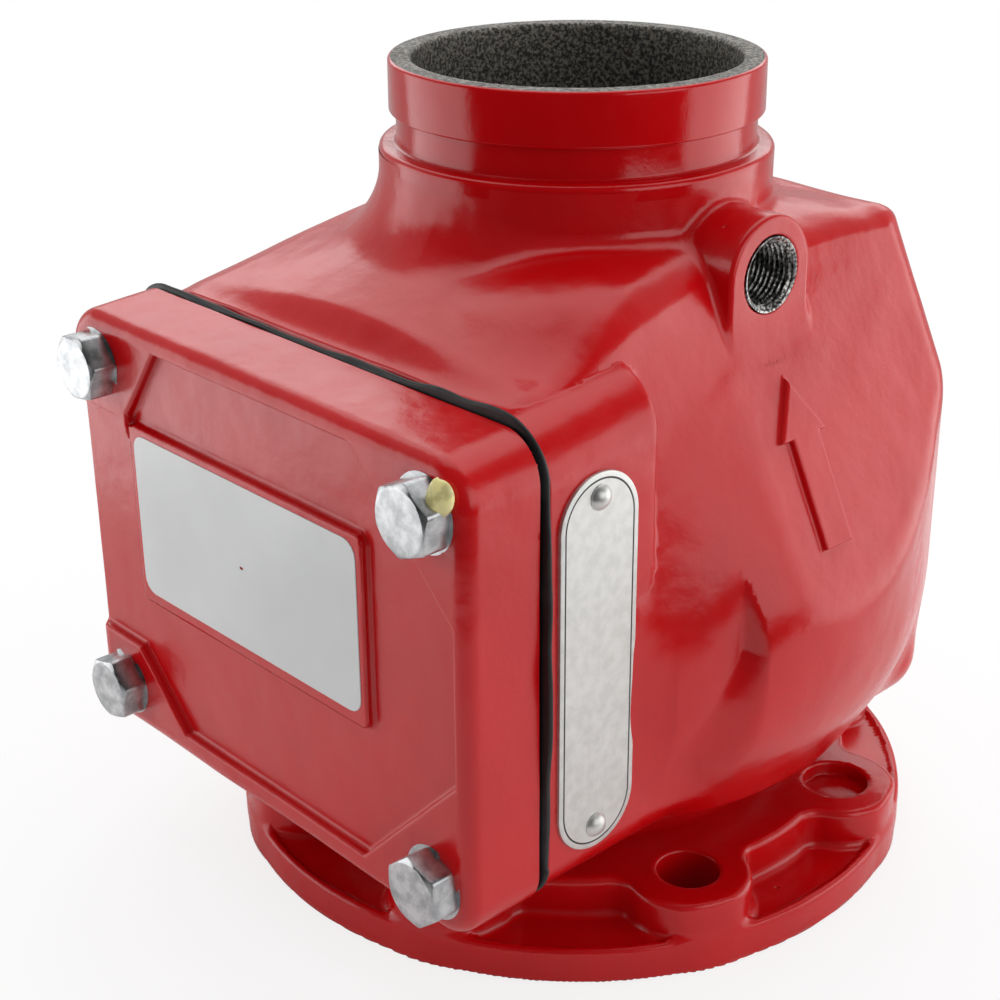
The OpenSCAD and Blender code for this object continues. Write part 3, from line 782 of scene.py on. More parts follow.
@dataclass
class Casting:
    """The valve body as one poured form: block, round side, frame, hub, collar, bosses and flange."""

    finishes: Finishes
    side_x: float = 92
    frame_y: float = 100
    frame_back: float = -59.5
    rear_y: float = 80
    drum_r: float = 116
    under_z: float = 43
    roof_z: float = 188
    roof_tilt: float = 7.2
    panel_x: float = 79
    panel_lean: float = 26.1
    front_cut: float = 100.6
    hub_r: float = 69
    collar_r: float = 60.4
    collar_z: float = 230.6
    wall: float = 8
    flange_r: float = 114.3
    rim_z: float = 12
    boss_z: float = 24
    boss_r: float = 20
    circle_r: float = 95.25
    hole_r: float = 9.525
    blind_z: float = 15
    dimple_r: float = 10.5
    dimple_t: float = 5
    inlet_r: float = 51
    outlet_r: float = 50
    gauge_z: float = 204
    gauge_r: float = 17.5
    drain_y: float = -10
    drain_z: float = 112
    drain_r: float = 38
    drain_bore: float = 28.6
    alarm_y: float = -6.5
    alarm_z: float = 51
    alarm_r: float = 18
    alarm_bore: float = 12
    port_x: float = -104
    seam_z: float = 26
    mouth_r: float = 11.3
    foot_r: float = 16
    swell_r: float = 46
    swell_at: tuple[float, float] = (50, 165.5)
    swell_ends: tuple[float, float] = (-46, 40)
    hinge: tuple[float, float] = (76, 84)
    lug_y: float = 27.4
    lug_half: float = 6
    lug_r: float = 13
    stop_at: tuple[float, float] = (67.3, 134.5)
    stop_turn: float = 60
    stop_r: float = 9
    seat_r: float = 68
    seat_top: float = 66
    shell_cell: float = 1.6
    flange_cell: float = 1.3
    port_cell: float = 0.8
    chamber_cell: float = 2.4

    def roof(self, y: Array, z: Array) -> Array:
        """Distance above the sloping roof."""
        t = math.radians(self.roof_tilt)
        return (z - self.roof_z) * math.cos(t) - (y + self.frame_y) * math.sin(t)

    def panel(self, x: Array, y: Array, z: Array) -> Array:
        """Distance outside the leaning side, whose slant falls from y -16 to y -66, towards the frame."""
        slant = math.tan(math.radians(self.panel_lean)) - 0.268 * ease((-16 - y) / 50)
        return (x - self.panel_x + (z - self.roof_z) * slant) / np.hypot(1, slant)

    def step(self, y: Array, z: Array) -> Array:
        """How much smaller the round side is beside the frame, with a step at y -34 that fades out below."""
        way = 3.5 + 0.6 * np.clip(106 - z, 0, 60)
        return ease((-32 - y) / way) * (6.3 - 3.6 * np.clip((-36 - y) / 20, 0, 1))

    def bowl(self, radius: Array, z: Array) -> Array:
        """Distance outside the round side, which draws in below like a bowl.

        Formula: the greatest of three distances, blended: to a cone that widens by 15.5 mm over the
        lowest 22 mm, to one that widens by 4.5 mm over the next 12 mm, and to the upright wall.

        Args:
            radius: Distance from the axis.
            z: Coordinate up.

        Returns:
            Distance, negative inside.
        """
        low = ((radius - self.drum_r + 20) * 22 - (z - self.under_z) * 15.5) / 26.91
        mid = ((radius - self.drum_r + 4.5) * 12 - (z - self.under_z - 22) * 4.5) / 12.82
        return soft_max(soft_max(low, mid, 9), radius - self.drum_r, 7)

    def swell(self, x: Array, y: Array, z: Array) -> Array:
        """Distance to the swell beside the collar, under which the clapper opens: a lying capsule."""
        beside = y - np.clip(y, *self.swell_ends)
        return np.sqrt((x - self.swell_at[0]) ** 2 + beside ** 2 + (z - self.swell_at[1]) ** 2) - self.swell_r

    def shoulder(self, x: Array, y: Array, z: Array) -> Array:
        """Distance above the low cone round the collar's foot, which ends behind the frame."""
        cone = (z - 208.6 - 0.03 * x) * 0.919 + (np.hypot(x, y) - self.collar_r) * 0.395
        return round_max(cone, -92.5 - y, 3)

    def edge(self, x: Array) -> Array:
        """Radius of the roof's edge: small over the arrow, large over the drain side."""
        return 6 + 22 * ease((-x - 30) / 40)

    def block(self, x: Array, y: Array, z: Array) -> Array:
        """Distance to the chamber's outside: square part and round side under one roof.

        Args:
            x: Coordinate across.
            y: Coordinate along.
            z: Coordinate up.

        Returns:
            Distance, negative inside.
        """
        under = self.under_z - z
        sides = np.maximum(round_max(x - self.side_x, under, self.foot_r),
                           round_max(-self.side_x - x, under, self.foot_r))
        round_side = self.bowl(np.hypot(x, y) + self.step(y, z), z)
        round_side = np.maximum(round_max(round_side, under, 3), 10 - x)
        both = round_min(sides, round_side, np.clip((z - self.under_z) / 2, 0.01, 6))
        both = soft_max(both, self.panel(x, y, z), 3)
        top = round_min(self.roof(y, z), self.shoulder(x, y, z), 9)
        top = round_min(top, self.swell(x, y, z), 7)
        both = round_max(both, top, self.edge(x))
        both = round_max(both, y - self.rear_y, 15)
        return np.maximum(both, -self.front_cut - y)

    def frame_sides(self, x: Array, y: Array, z: Array) -> Array:
        """Distance to the frame's section, carried on along y without an end."""
        form = round_max(np.maximum(x - self.side_x, -self.side_x - x), self.under_z - z, self.foot_r)
        return round_max(form, self.roof(y, z), np.maximum(17, self.edge(x)))

    def frame_form(self, x: Array, y: Array, z: Array) -> Array:
        """Distance to the frame that carries the cover."""
        form = round_max(self.frame_sides(x, y, z), y - self.frame_back, 2)
        return np.maximum(form, -self.front_cut - y)

    def drain_boss(self, x: Array, y: Array, z: Array) -> Array:
        """Distance to the round boss of the main drain."""
        form = round_max(np.hypot(y - self.drain_y, z - self.drain_z) - self.drain_r, self.port_x - x, 2)
        return np.maximum(form, x + 70)

    def alarm_boss(self, x: Array, y: Array, z: Array) -> Array:
        """Distance to the round boss of the alarm port."""
        form = round_max(np.hypot(y - self.alarm_y, z - self.alarm_z) - self.alarm_r, self.port_x - x, 2)
        return np.maximum(form, x + 50)

    def gauge_boss(self, x: Array, y: Array, z: Array) -> Array:
        """Distance to the gauge boss, round above and straight below.

        Args:
            x: Coordinate across.
            y: Coordinate along.
            z: Coordinate up.

        Returns:
            Distance, negative inside.
        """
        side = np.where(z > self.gauge_z, np.hypot(y, z - self.gauge_z), np.abs(y)) - self.gauge_r
        form = round_max(side, x - self.panel_x, 1.6)
        return np.maximum(np.maximum(form, 45 - x), 165 - z)

    def flange(self, x: Array, y: Array, z: Array) -> Array:
        """Distance to the flange: a thin rim with a lip, and eight joined bosses.

        Formula: angles are folded into one eighth, so one boss and one hole stand for eight. The hole on
        the arrow side is blind, with a dimple above it.

        Args:
            x: Coordinate across.
            y: Coordinate along.
            z: Coordinate up.

        Returns:
            Distance, negative inside.
        """
        radius = np.hypot(x, y)
        pocket = self.rim_z - 1.6 * np.clip((112.2 - radius) / 1.5, 0, 1)
        rim = round_max(radius - self.flange_r, z - pocket, 1.6)
        eighth = TURN / 8
        angle = np.mod(np.arctan2(y, x), eighth) - eighth / 2
        hole = np.hypot(radius * np.cos(angle) - self.circle_r, radius * np.sin(angle))
        ring = round_min(radius - self.circle_r + 0.5, hole - self.boss_r, 5)
        upper = round_max(ring, z - self.boss_z, 2.4)
        upper = round_max(upper, radius - self.flange_r, 1.6)
        form = round_min(rim, upper, 3)
        form = round_max(form, -z, 1.2)
        blind = (x > 0) & (y > 0) & (y < x)
        dimple = np.minimum(self.dimple_r - hole, z - self.boss_z + self.dimple_t)
        short = np.maximum(dimple, np.minimum(self.hole_r - hole, self.blind_z - z))
        return round_max(form, np.where(blind, short, self.hole_r - hole), 1.0)

    def body(self, x: Array, y: Array, z: Array) -> Array:
        """Distance to the whole casting, its inside filled but for the mouths of its bores.

        Formula: the forms are joined one by one with fillets, then waved, with no wave at the underside,
        and the mouths are cut last.

        Args:
            x: Coordinate across.
            y: Coordinate along.
            z: Coordinate up.

        Returns:
            Distance, negative inside.
        """
        radius = np.hypot(x, y)
        block = self.block(x, y, z)
        bend = np.clip(block - self.frame_sides(x, y, z), 0, 5)
        form = round_min(block, self.frame_form(x, y, z), bend)
        hub = np.maximum(radius - self.hub_r, z - 80)
        form = round_min(form, hub, 7)
        foot = 5 + 10 * np.clip((45 - x) / 40, 0, 1)
        form = round_min(form, np.maximum(radius - self.collar_r, 100 - z), foot)
        form = round_min(form, self.gauge_boss(x, y, z), 2.5)
        form = round_min(form, self.drain_boss(x, y, z), 5)
        form = round_min(form, self.alarm_boss(x, y, z), 5)
        form = round_min(form, self.flange(x, y, z), 5)
        wave = 0.28 * ripple(x, y, z, 55) + 0.1 * ripple(y, z, x, 21)
        form = np.maximum(form + wave * np.clip((z - 2) / 6, 0, 1), -z)
        gauge = np.hypot(y, z - self.gauge_z) - self.mouth_r
        form = round_max(form, np.minimum(-np.maximum(gauge, 60 - x), 40), 0.8)
        drain = np.maximum(np.hypot(y - self.drain_y, z - self.drain_z) - self.drain_bore, x + 80)
        form = round_max(form, -drain, 0.8)
        alarm = np.maximum(np.hypot(y - self.alarm_y, z - self.alarm_z) - self.alarm_bore, x + 84)
        form = round_max(form, -alarm, 0.8)
        return round_max(form, np.minimum(self.inlet_r - radius, 50 - z), 0.8)

    def outside(self, middle: Array) -> Array:
        """Faces of the body that belong to the painted outside, not to the bore or a port's mouth.

        Args:
            middle: Middles of the faces as rows of x, y, z.

        Returns:
            True where a face stays.
        """
        x, y, z = middle.T
        stay = ~((np.hypot(x, y) < self.outlet_r + 3) & (z > 30))
        for at_y, at_z, r, low, high in ((0, self.gauge_z, self.mouth_r, 40, 77.4),
                                         (self.drain_y, self.drain_z, self.drain_bore, -102.4, -60),
                                         (self.alarm_y, self.alarm_z, self.alarm_bore, -102.4, -60)):
            stay &= ~((np.hypot(y - at_y, z - at_z) < r + 0.1) & (x > low) & (x < high))
        return stay

    def near_port(self, middle: Array, less: float = 0) -> Array:
        """Faces in the box round the gauge boss that is worked out finely, or in a smaller box."""
        x, y, z = middle.T
        return (x > 62 + less) & (np.abs(y) < 27 - less) & (z > 178 + less) & (z < 229 - less)

    def hollow(self, x: Array, y: Array, z: Array) -> Array:
        """Distance to the metal, seen from inside the chamber: the outside set in by the wall, turned over.

        Formula: the rooms are joined and turned over, then the seat's boss, the hinge lugs with their feet
        and the stop for the open arm are added.

        Args:
            x: Coordinate across.
            y: Coordinate along.
            z: Coordinate up.

        Returns:
            Distance, negative inside.
        """
        cavity = np.maximum(self.block(x, y, z) + self.wall, 60 - z)
        cavity = np.maximum(cavity, -70 - y)
        way = np.maximum(bar(x, z - 114, 62, 52, 14), np.maximum(-100.5 - y, y + 60))
        neck = np.maximum(np.hypot(x, y) - self.outlet_r, 150 - z)
        drain = np.hypot(y - self.drain_y, z - self.drain_z) - self.drain_bore + 0.4
        drain = np.maximum(drain, np.maximum(x + 60, -104 - x))
        room = round_min(np.minimum(cavity, way), np.minimum(neck, drain), 2)
        seat = np.maximum(np.hypot(x, y) - self.seat_r, z - self.seat_top)
        hinge_x, hinge_z = self.hinge
        sides = np.abs(np.abs(y) - self.lug_y) - self.lug_half
        lug = np.maximum(np.hypot(x - hinge_x, z - hinge_z) - self.lug_r, sides)
        foot = np.maximum(np.maximum(np.abs(x - hinge_x) - self.lug_r, z - hinge_z), sides)
        right, up = math.sin(math.radians(self.stop_turn)), math.cos(math.radians(self.stop_turn))
        from_x, from_z = x - self.stop_at[0], z - self.stop_at[1]
        stop = np.maximum(np.hypot(from_x * up - from_z * right, y) - self.stop_r,
                          -(from_x * right + from_z * up))
        solids = np.minimum(np.minimum(seat, stop), np.minimum(lug, foot))
        return round_min(-room, solids, 2)

    def inside(self, middle: Array) -> Array:
        """Faces of the hollow that can be seen from a mouth.

        Args:
            middle: Middles of the faces as rows of x, y, z.

        Returns:
            True where a face stays.
        """
        x, y, z = middle.T
        radius = np.hypot(x, y)
        deep = self.block(x, y, z) < -2
        stay = deep & ~((radius < 63) & (z < 70)) & ~((radius < 52) & (z > 187))
        return stay & (y > -99)

    def build(self) -> None:
        """Makes the pieces of the casting."""
        enamel, iron = self.finishes.enamel, self.finishes.iron
        step = self.shell_cell
        upper = shell(self.body, (-106, -102, self.seam_z - step), (118, 82.6, self.collar_z - step), step)
        upper = upper.kept(lambda m: self.outside(m) & ~self.near_port(m, 2))
        piece("casting_shell", upper, enamel, Slot.CASTING, ["valve_body"])
        port = shell(self.body, (61, -28, 177), (90, 28, 230), self.port_cell)
        port = port.kept(lambda m: self.outside(m) & self.near_port(m))
        piece("casting_gauge_boss", port, enamel, Slot.CASTING)
        step = self.flange_cell
        low = shell(self.body, (-116, -116, -step), (116, 116, self.seam_z + step), step)
        piece("casting_flange", low.kept(self.outside), enamel, Slot.CASTING)
        inner = shell(self.hollow, (-106, -101, 52), (110, 80, 204), self.chamber_cell)
        piece("casting_chamber", inner.kept(self.inside), iron, Slot.CASTING)
        self.build_inlet(iron)

    def build_inlet(self, iron: bpy.types.Material) -> None:
        """The bored inlet, the seat's pocket and the ring-shaped alarm way, as one turned surface."""
        profile = [(68, 60), (68, 66), (62.1, 66), (62.1, 58), (57.5, 58), (57.5, 50), (52.5, 50),
                   (52.5, 58), (51, 58), (51, 24)]
        piece("inlet_bore", turned(profile, 128), iron, Slot.CASTING)


@dataclass
class OutletEnd:
    """Collar top, groove, land, end face and bore, turned as one."""

    finishes: Finishes
    steps: int = 224
    top: float = 256
    land: float = 15.88
    groove: float = 9.53
    end_r: float = 57.15
    groove_r: float = 55.04
    collar_r: float = 60.4
    bore_r: float = 50

    def build(self) -> None:
        """Makes the painted outside and the bare bore."""
        low = self.top - self.land - self.groove
        high = self.top - self.land
        painted = [(self.collar_r, low - 5), (self.collar_r, low - 2.2)]
        painted += arc((self.collar_r - 1.8, low - 1.8), 1.8, 0, 90, 6)
        painted += [(self.groove_r + 0.9, low)]
        painted += arc((self.groove_r + 0.9, low + 0.9), 0.9, 270, 180, 4)
        painted += [(self.groove_r, high - 0.5)]
        painted += arc((self.groove_r + 0.5, high - 0.5), 0.5, 180, 90, 3)
        painted += arc((self.end_r - 0.6, high + 0.6), 0.6, 270, 360, 4)
        painted += [(self.end_r, self.top - 1.2)]
        painted += arc((self.end_r - 1.1, self.top - 1.1), 1.1, 0, 80, 6)
        skin = turned(painted, self.steps)
        x, y, z = skin.points.T
        skin.points = skin.points * (1 + 0.0016 * ripple(x, y, z, 34)[:, None] * np.array([1, 1, 0]))
        piece("outlet_end", skin, self.finishes.smooth, Slot.CASTING)
        bare = [(self.end_r - 0.9, self.top - 0.02), (self.end_r - 2.2, self.top)]
        bare += [(self.bore_r + 2, self.top)]
        bare += arc((self.bore_r + 1.4, self.top - 1.4), 1.4, 90, 180, 5)
        bare += [(self.bore_r, self.top - h) for h in np.linspace(4, 66, 32)]
        piece("outlet_bore", turned(bare, self.steps), self.finishes.iron, Slot.CASTING)


@dataclass
class Port:
    """A threaded port: a helical wall, a bottom and the way on."""

    name: str
    face_x: float
    centre: tuple[float, float]
    crest_r: float
    pitch: float
    length: float
    way_r: float
    way_length: float
    finishes: Finishes
    side: int = 1
    columns: int = 128
    rows_a_turn: int = 12
    mouth: float = 1.4
    run_out: float = 3

    def build(self) -> None:
        """Radius = crest + depth of a rounded tooth at (depth in - angle x pitch), fading at the mouth."""
        tooth = 0.6 * self.pitch
        rows = int(self.length / self.pitch * self.rows_a_turn)
        inward = np.linspace(0, self.length, rows)[:, None]
        angle = np.arange(self.columns)[None, :] / self.columns * TURN
        phase = np.mod(inward / self.pitch - angle / TURN, 1)
        wave = np.clip((1 - np.abs(2 * phase - 1) - 0.12) / 0.76, 0, 1)
        radius = self.crest_r + tooth * wave
        opened = self.crest_r + tooth * 1.05 - 2 * inward * 0.6
        radius = np.where(inward < self.mouth, np.maximum(radius, opened), radius)
        fade = np.clip((inward - self.length + self.run_out) / self.run_out, 0, 1)
        radius = radius * (1 - fade) + self.crest_r * fade
        lip = np.full((1, self.columns), self.crest_r + tooth * 1.05 + 0.5)
        way = np.full((2, self.columns), self.way_r)
        radius = np.vstack([lip, radius, way])
        end = self.length + 0.8
        depth = np.concatenate([[-0.08], inward[:, 0], [end, end + self.way_length]])
        x = np.repeat(depth[:, None], self.columns, 1)
        y = radius * np.cos(angle) + self.centre[0]
        z = radius * np.sin(angle) * self.side + self.centre[1]
        skin = grid(np.stack([self.face_x - self.side * x, y, z], -1), wrap_columns=True)
        piece(self.name, skin, self.finishes.thread, Slot.CASTING)


@dataclass
class FlowArrow:
    """The raised arrow on the leaning side, pointing along the flow."""

    casting: Casting
    rise: float = 1.9
    tip: tuple[float, float] = (-0.6, 174.7)
    barb_z: float = 159.3
    barb: tuple[float, float] = (-10.9, 9.7)
    shaft: tuple[float, float] = (-6.0, 6.1)
    foot_z: float = 129.5

    def shape(self, x: Array, y: Array, z: Array) -> Array:
        """Distance to the arrow alone, standing on the leaning side.

        Args:
            x: Coordinate across.
            y: Coordinate along.
            z: Coordinate up.

        Returns:
            Distance, negative inside.
        """
        (left, right), (thin_left, thin_right) = self.barb, self.shaft
        corners = [self.tip, (left, self.barb_z), (thin_left, self.barb_z), (thin_left, self.foot_z),
                   (thin_right, self.foot_z), (thin_right, self.barb_z), (right, self.barb_z)]
        flat = outline(np.asarray(y, float), np.asarray(z, float), corners)
        return round_max(flat, self.casting.panel(x, y, z) - self.rise, 1.0)

    def build(self) -> None:
        """Joins the arrow to the casting with a small fillet and keeps what stands proud."""
        def both(x: Array, y: Array, z: Array) -> Array:
            """Distance to the casting with the arrow on it."""
            return round_min(self.casting.body(x, y, z), self.shape(x, y, z), 0.9)
        skin = shell(both, (80, -15, 125), (114, 14, 180), 0.55)
        skin = skin.kept(lambda m: self.shape(*m.T) < 1.6)
        skin.points = skin.points + 0.03 * skin.normals
        piece("flow_arrow", skin, self.casting.finishes.enamel, Slot.CASTING)


@dataclass
class Handhole:
    """The cover with its sunk panel and label pad, the gasket behind it and the label."""

    finishes: Finishes
    half_w: float = 91.5
    low: float = 43
    high: float = 185
    front: float = -129
    back: float = -102.6
    sink: float = 3
    pad: tuple[float, float, float, float] = (-62.5, 49.5, 94, 153.5)
    gasket_half: tuple[float, float] = (91.6, 71.8)
    gasket_y: float = -101.6
    gasket_z: float = 115.7
    label_half: tuple[float, float] = (53.5, 26.5)
    label_at: tuple[float, float] = (-6.5, 124.5)

    def sunk_edge(self) -> list[tuple[float, float]]:
        """Corners of the sunk panel in x and z, open at the left."""
        return [(-97, 74.8), (-67.3, 74.8), (-44, 51.8), (45.5, 51.8), (85.5, 92.8), (85.5, 140),
                (46, 179.5), (-45, 179.5), (-62.4, 156.1), (-62.4, 148), (-68, 154), (-97, 154)]

    def cover(self, x: Array, y: Array, z: Array) -> Array:
        """Distance to the cover: a block with draft, less its sunk panel, in which the label's pad stands.

        Args:
            x: Coordinate across.
            y: Coordinate along.
            z: Coordinate up.

        Returns:
            Distance, negative inside.
        """
        mid = (self.low + self.high) / 2
        draft = 0.8 * np.clip((y - self.front) / 26, 0, 1)
        form = bar(x, z - mid - draft, self.half_w, (self.high - self.low) / 2 + draft, 13)
        form = round_max(form, self.front - y, 5)
        form = np.maximum(form, y - self.back)
        form = form + 0.16 * ripple(x, y, z, 47) + 0.05 * ripple(z, x, y, 16)
        x, z = np.broadcast_arrays(x, z)
        edge = outline(x, z, self.sunk_edge())
        left, right, bottom, top = self.pad
        pad = bar(x - (left + right) / 2, z - (bottom + top) / 2, (right - left) / 2, (top - bottom) / 2, 3)
        floor = y - self.front - self.sink
        deep = round_max(round_max(edge, -pad, 1.2), floor, 1.3)
        shallow = round_max(edge, y - self.front - 0.5, 0.3)
        return round_max(round_max(form, -deep, 1.2), -shallow, 0.3)

    def build(self) -> None:
        """Makes the cover, gasket and label."""
        skin = shell(self.cover, (-93, -130.5, 41.5), (93, self.back - 0.9, 188), 0.95)
        piece("cover_casting", skin, self.finishes.enamel, Slot.CASTING, ["handhole_cover"])
        self.build_gasket()
        self.build_label()

    def ring(self, half_w: float, half_h: float, r: float, count: int) -> tuple[Array, Array, Array]:
        """Points round a rectangle with round corners, evenly spaced, with their outward directions.

        Args:
            half_w: Half of the width.
            half_h: Half of the height.
            r: Corner radius.
            count: Number of points.

        Returns:
            Points, outward directions and distance along the ring, from the lower right corner up.
        """
        sides = [2 * (half_h - r), 2 * (half_w - r)] * 2
        quarter = r * math.pi / 2
        s = np.arange(count) / count * (sum(sides) + 4 * quarter)
        point = np.zeros((count, 2))
        out = np.zeros((count, 2))
        start = 0.0
        corner = np.array([half_w - r, -half_h + r])
        for k, side in enumerate(sides):
            a = k * math.pi / 2
            normal = np.array([math.cos(a), math.sin(a)])
            along = np.array([-normal[1], normal[0]])
            on = (s >= start) & (s < start + side)
            point[on] = corner + normal * r + along * (s[on, None] - start)
            out[on] = normal
            corner = corner + along * side
            start += side
            bend = (s >= start) & (s < start + quarter)
            turn = a + (s[bend] - start) / r
            out[bend] = np.stack([np.cos(turn), np.sin(turn)], -1)
            point[bend] = corner + r * out[bend]
            start += quarter
        return point, out, s

    def build_gasket(self) -> None:
        """A flat strip with a rounded edge, carried round the joint, standing proud by a wavy amount."""
        point, out, s = self.ring(*self.gasket_half, 14, 760)
        total = s[-1] + s[1]
        k = TURN / total
        proud = 0.1 + 0.2 * np.sin(k * 5 * s) + 0.15 * np.sin(k * 13 * s + 1) + 0.1 * np.sin(k * 31 * s + 2)
        for at, width, much in ((0.225, 0.02, 1.7), (0.262, 0.014, 1.3), (0.49, 0.012, 1.5),
                                (0.1, 0.085, 2.9), (1.0, 0.02, 1.4)):
            proud = proud + much * np.exp(-((s / total - at) / width) ** 2)
        lean = 0.3 * np.sin(k * 7 * s + 0.5) + 0.2 * np.sin(k * 17 * s)
        turn = np.radians(np.linspace(-90, 90, 9))
        reach = np.concatenate([[-8.0, -1.2], np.cos(turn) * 0.8 - 0.8, [-1.2, -8.0]])
        depth = np.concatenate([[-1.05, -1.05], 0.75 * np.sin(turn), [1.05, 1.05]])
        ahead = np.where(reach < -1, np.minimum(reach, reach + proud[:, None]), proud[:, None] + reach)
        rim = point[:, None, :] + out[:, None, :] * ahead[..., None]
        y = self.gasket_y + depth[None, :] + np.where(reach < -1, 0, 1) * lean[:, None]
        points = np.stack([rim[..., 0], y, rim[..., 1] + self.gasket_z], -1)
        piece("gasket_strip", grid(points, wrap_rows=True).flipped(), self.finishes.rubber, Slot.GASKET,
              ["cover_gasket"])

    def build_label(self) -> None:
        """A thin film with round corners: rings of a rectangle from its edge to its middle."""
        point = self.ring(*self.label_half, 5, 160)[0]
        inset = np.array([0, 0, 0.06, 0.2, 6, 20, 26])
        lift = np.array([-0.1, 0.16, 0.24, 0.26, 0.26, 0.26, 0.26])
        shrink = np.clip(1 - inset / 26.4, 0.01, 1)
        ring = point[None] * shrink[:, None, None]
        far = self.front + 0.5 - lift[:, None] + 0 * ring[..., 0]
        points = np.stack([ring[..., 0] + self.label_at[0], far, ring[..., 1] + self.label_at[1]], -1)
        piece("label_film", grid(points, wrap_columns=True), self.finishes.film, Slot.LABEL, ["cover_label"])


@dataclass
class CoverBolt:
    """A hexagon head with a chamfered face, and its shank as the CAD has it."""

    name: str
    x: float
    z: float
    turn: float
    finishes: Finishes
    seat_y: float = -129
    height: float = 8.2
    flats: float = 19.05
    columns: int = 144

    def build(self) -> None:
        """Radius at an angle = half the flats / cos of the angle from a flat, cut by the chamfer's cone."""
        angle = np.arange(self.columns) / self.columns * TURN
        off = np.mod(angle, TURN / 6) - TURN / 12
        hexagon = np.minimum(self.flats / 2 / np.cos(off), self.flats / 2 / math.cos(TURN / 12) - 0.25)
        face_r = self.flats / 2 * 0.955
        slant = math.tan(math.radians(27))
        foot = [(face_r + 2, 0.0), (hexagon, 0.0), (hexagon, 0.5)]
        top = self.height - np.maximum(hexagon - face_r, 0) * slant
        edge = [(hexagon, top - 0.25), (hexagon - 0.12, top - 0.06), (hexagon - 0.3, top + 0.02)]
        near = [(np.minimum(hexagon - 0.35, face_r + 0.12), self.height - 0.06), (face_r - 0.12, self.height)]
        flat = [(face_r * q, self.height + 0.05 * (1 - q)) for q in (0.9, 0.6, 0.3, 0.01)]
        stack = foot + edge + near + flat
        radius = np.stack([r + 0 * angle for r, _ in stack])
        height = np.stack([h + 0 * angle for _, h in stack])
        a = angle + math.radians(self.turn)
        x = self.x + radius * np.cos(a)
        z = self.z + radius * np.sin(a)
        skin = grid(np.stack([x, self.seat_y - height, z], -1), wrap_columns=True)
        piece("head_" + self.name, skin, self.finishes.zinc, Slot.ZINC, ["cover_bolt_" + self.name])


@dataclass
class GlueDrop:
    """The drop of thread glue that has run out over the upper right bolt."""

    finishes: Finishes
    centre: tuple[float, float, float] = (84.6, -131.0, 176.8)
    size: tuple[float, float, float] = (3.9, 3.0, 5.2)

    def build(self) -> None:
        """A ball with three slow waves on it, as a function of two angles."""
        up = np.linspace(-math.pi / 2 + 0.02, math.pi / 2 - 0.02, 25)[:, None]
        round_ = np.arange(48)[None, :] / 48 * TURN
        swell = 1 + 0.14 * np.sin(3 * round_ + 1) * np.cos(up) + 0.12 * np.sin(2 * up + round_)
        across, along = np.cos(up) * np.cos(round_), np.cos(up) * np.sin(round_)
        ball = np.stack([across, along, np.sin(up) + 0 * round_], -1)
        points = np.array(self.centre) + ball * np.array(self.size) * swell[..., None]
        piece("glue_drop", grid(points, wrap_columns=True), self.finishes.glue, Slot.GASKET)


@dataclass
class Nameplate:
    """The plate with round ends on the frame's side, its border line and two rivets."""

    finishes: Finishes
    x: float = 92
    y: float = -82.75
    low: float = 57
    high: float = 172
    half_w: float = 14.55
    thick: float = 1.0
    rivet_in: float = 7
    columns: int = 192

    def rim(self, inset: float) -> Array:
        """Points round a stadium, shrunk by an inset: two half circles joined by straight sides.

        Args:
            inset: How far inside the plate's edge the points lie.

        Returns:
            Rows of y and z, from the right end of the upper half circle on, anticlockwise.
        """
        r, count = self.half_w, self.columns
        straight = self.high - self.low - 2 * r
        half = math.pi * r
        s = np.arange(count) / count * (2 * half + 2 * straight)
        top = (self.high + self.low) / 2 + straight / 2
        bottom = top - straight
        a = np.clip(s / r, 0, math.pi)
        b = np.clip((s - half - straight) / r, 0, math.pi) + math.pi
        first = s < half
        down = (s >= half) & (s < half + straight)
        second = (s >= half + straight) & (s < 2 * half + straight)
        near = r - inset
        y = np.where(first, near * np.cos(a), np.where(down, -near, np.where(second, near * np.cos(b), near)))
        z = np.where(first, top + near * np.sin(a), np.where(down, top - (s - half),
                     np.where(second, bottom + near * np.sin(b), bottom + (s - 2 * half - straight))))
        return np.stack([self.y + y, z], -1)

    def level(self, inset: float, height: float) -> Array:
        """The stadium's points at a height over the frame's side, as rows of x, y, z."""
        return np.column_stack([np.full(self.columns, self.x + height), self.rim(inset)])

    def build(self) -> None:
        """Makes the plate, its printed border and the rivets."""
        steps = [(0, -0.15), (0, self.thick - 0.25), (0.08, self.thick - 0.06)]
        steps += [(inset, self.thick) for inset in (0.3, 2, 8, 14.545)]
        rows = [self.level(inset, h) for inset, h in steps]
        blank = grid(np.stack(rows), wrap_columns=True)
        piece("plate_blank", blank, self.finishes.plate, Slot.PLATE, ["nameplate"])
        line = [self.level(inset, self.thick + h)
                for inset, h in ((1.55, 0.0), (1.6, 0.03), (2.05, 0.03), (2.1, 0.0))]
        piece("plate_border", grid(np.stack(line), wrap_columns=True), self.finishes.border, Slot.PLATE)
        for name, z in (("upper", self.high - self.rivet_in), ("lower", self.low + self.rivet_in)):
            self.build_rivet(name, z)

    def build_rivet(self, name: str, z: float) -> None:
        """A domed head with a set mark round its foot.

        Args:
            name: Upper or lower.
            z: Height of its middle.
        """
        profile = [(3.75, -0.3), (3.75, 0.25)] + arc((0, -1.9), 4.2, 31, 89.5, 9)
        skin = turned(profile, 48, "x")
        skin.points = skin.points + np.array([self.x + self.thick, self.y, z])
        piece("rivet_" + name, skin, self.finishes.plate, Slot.PLATE, ["nameplate_rivet_" + name])


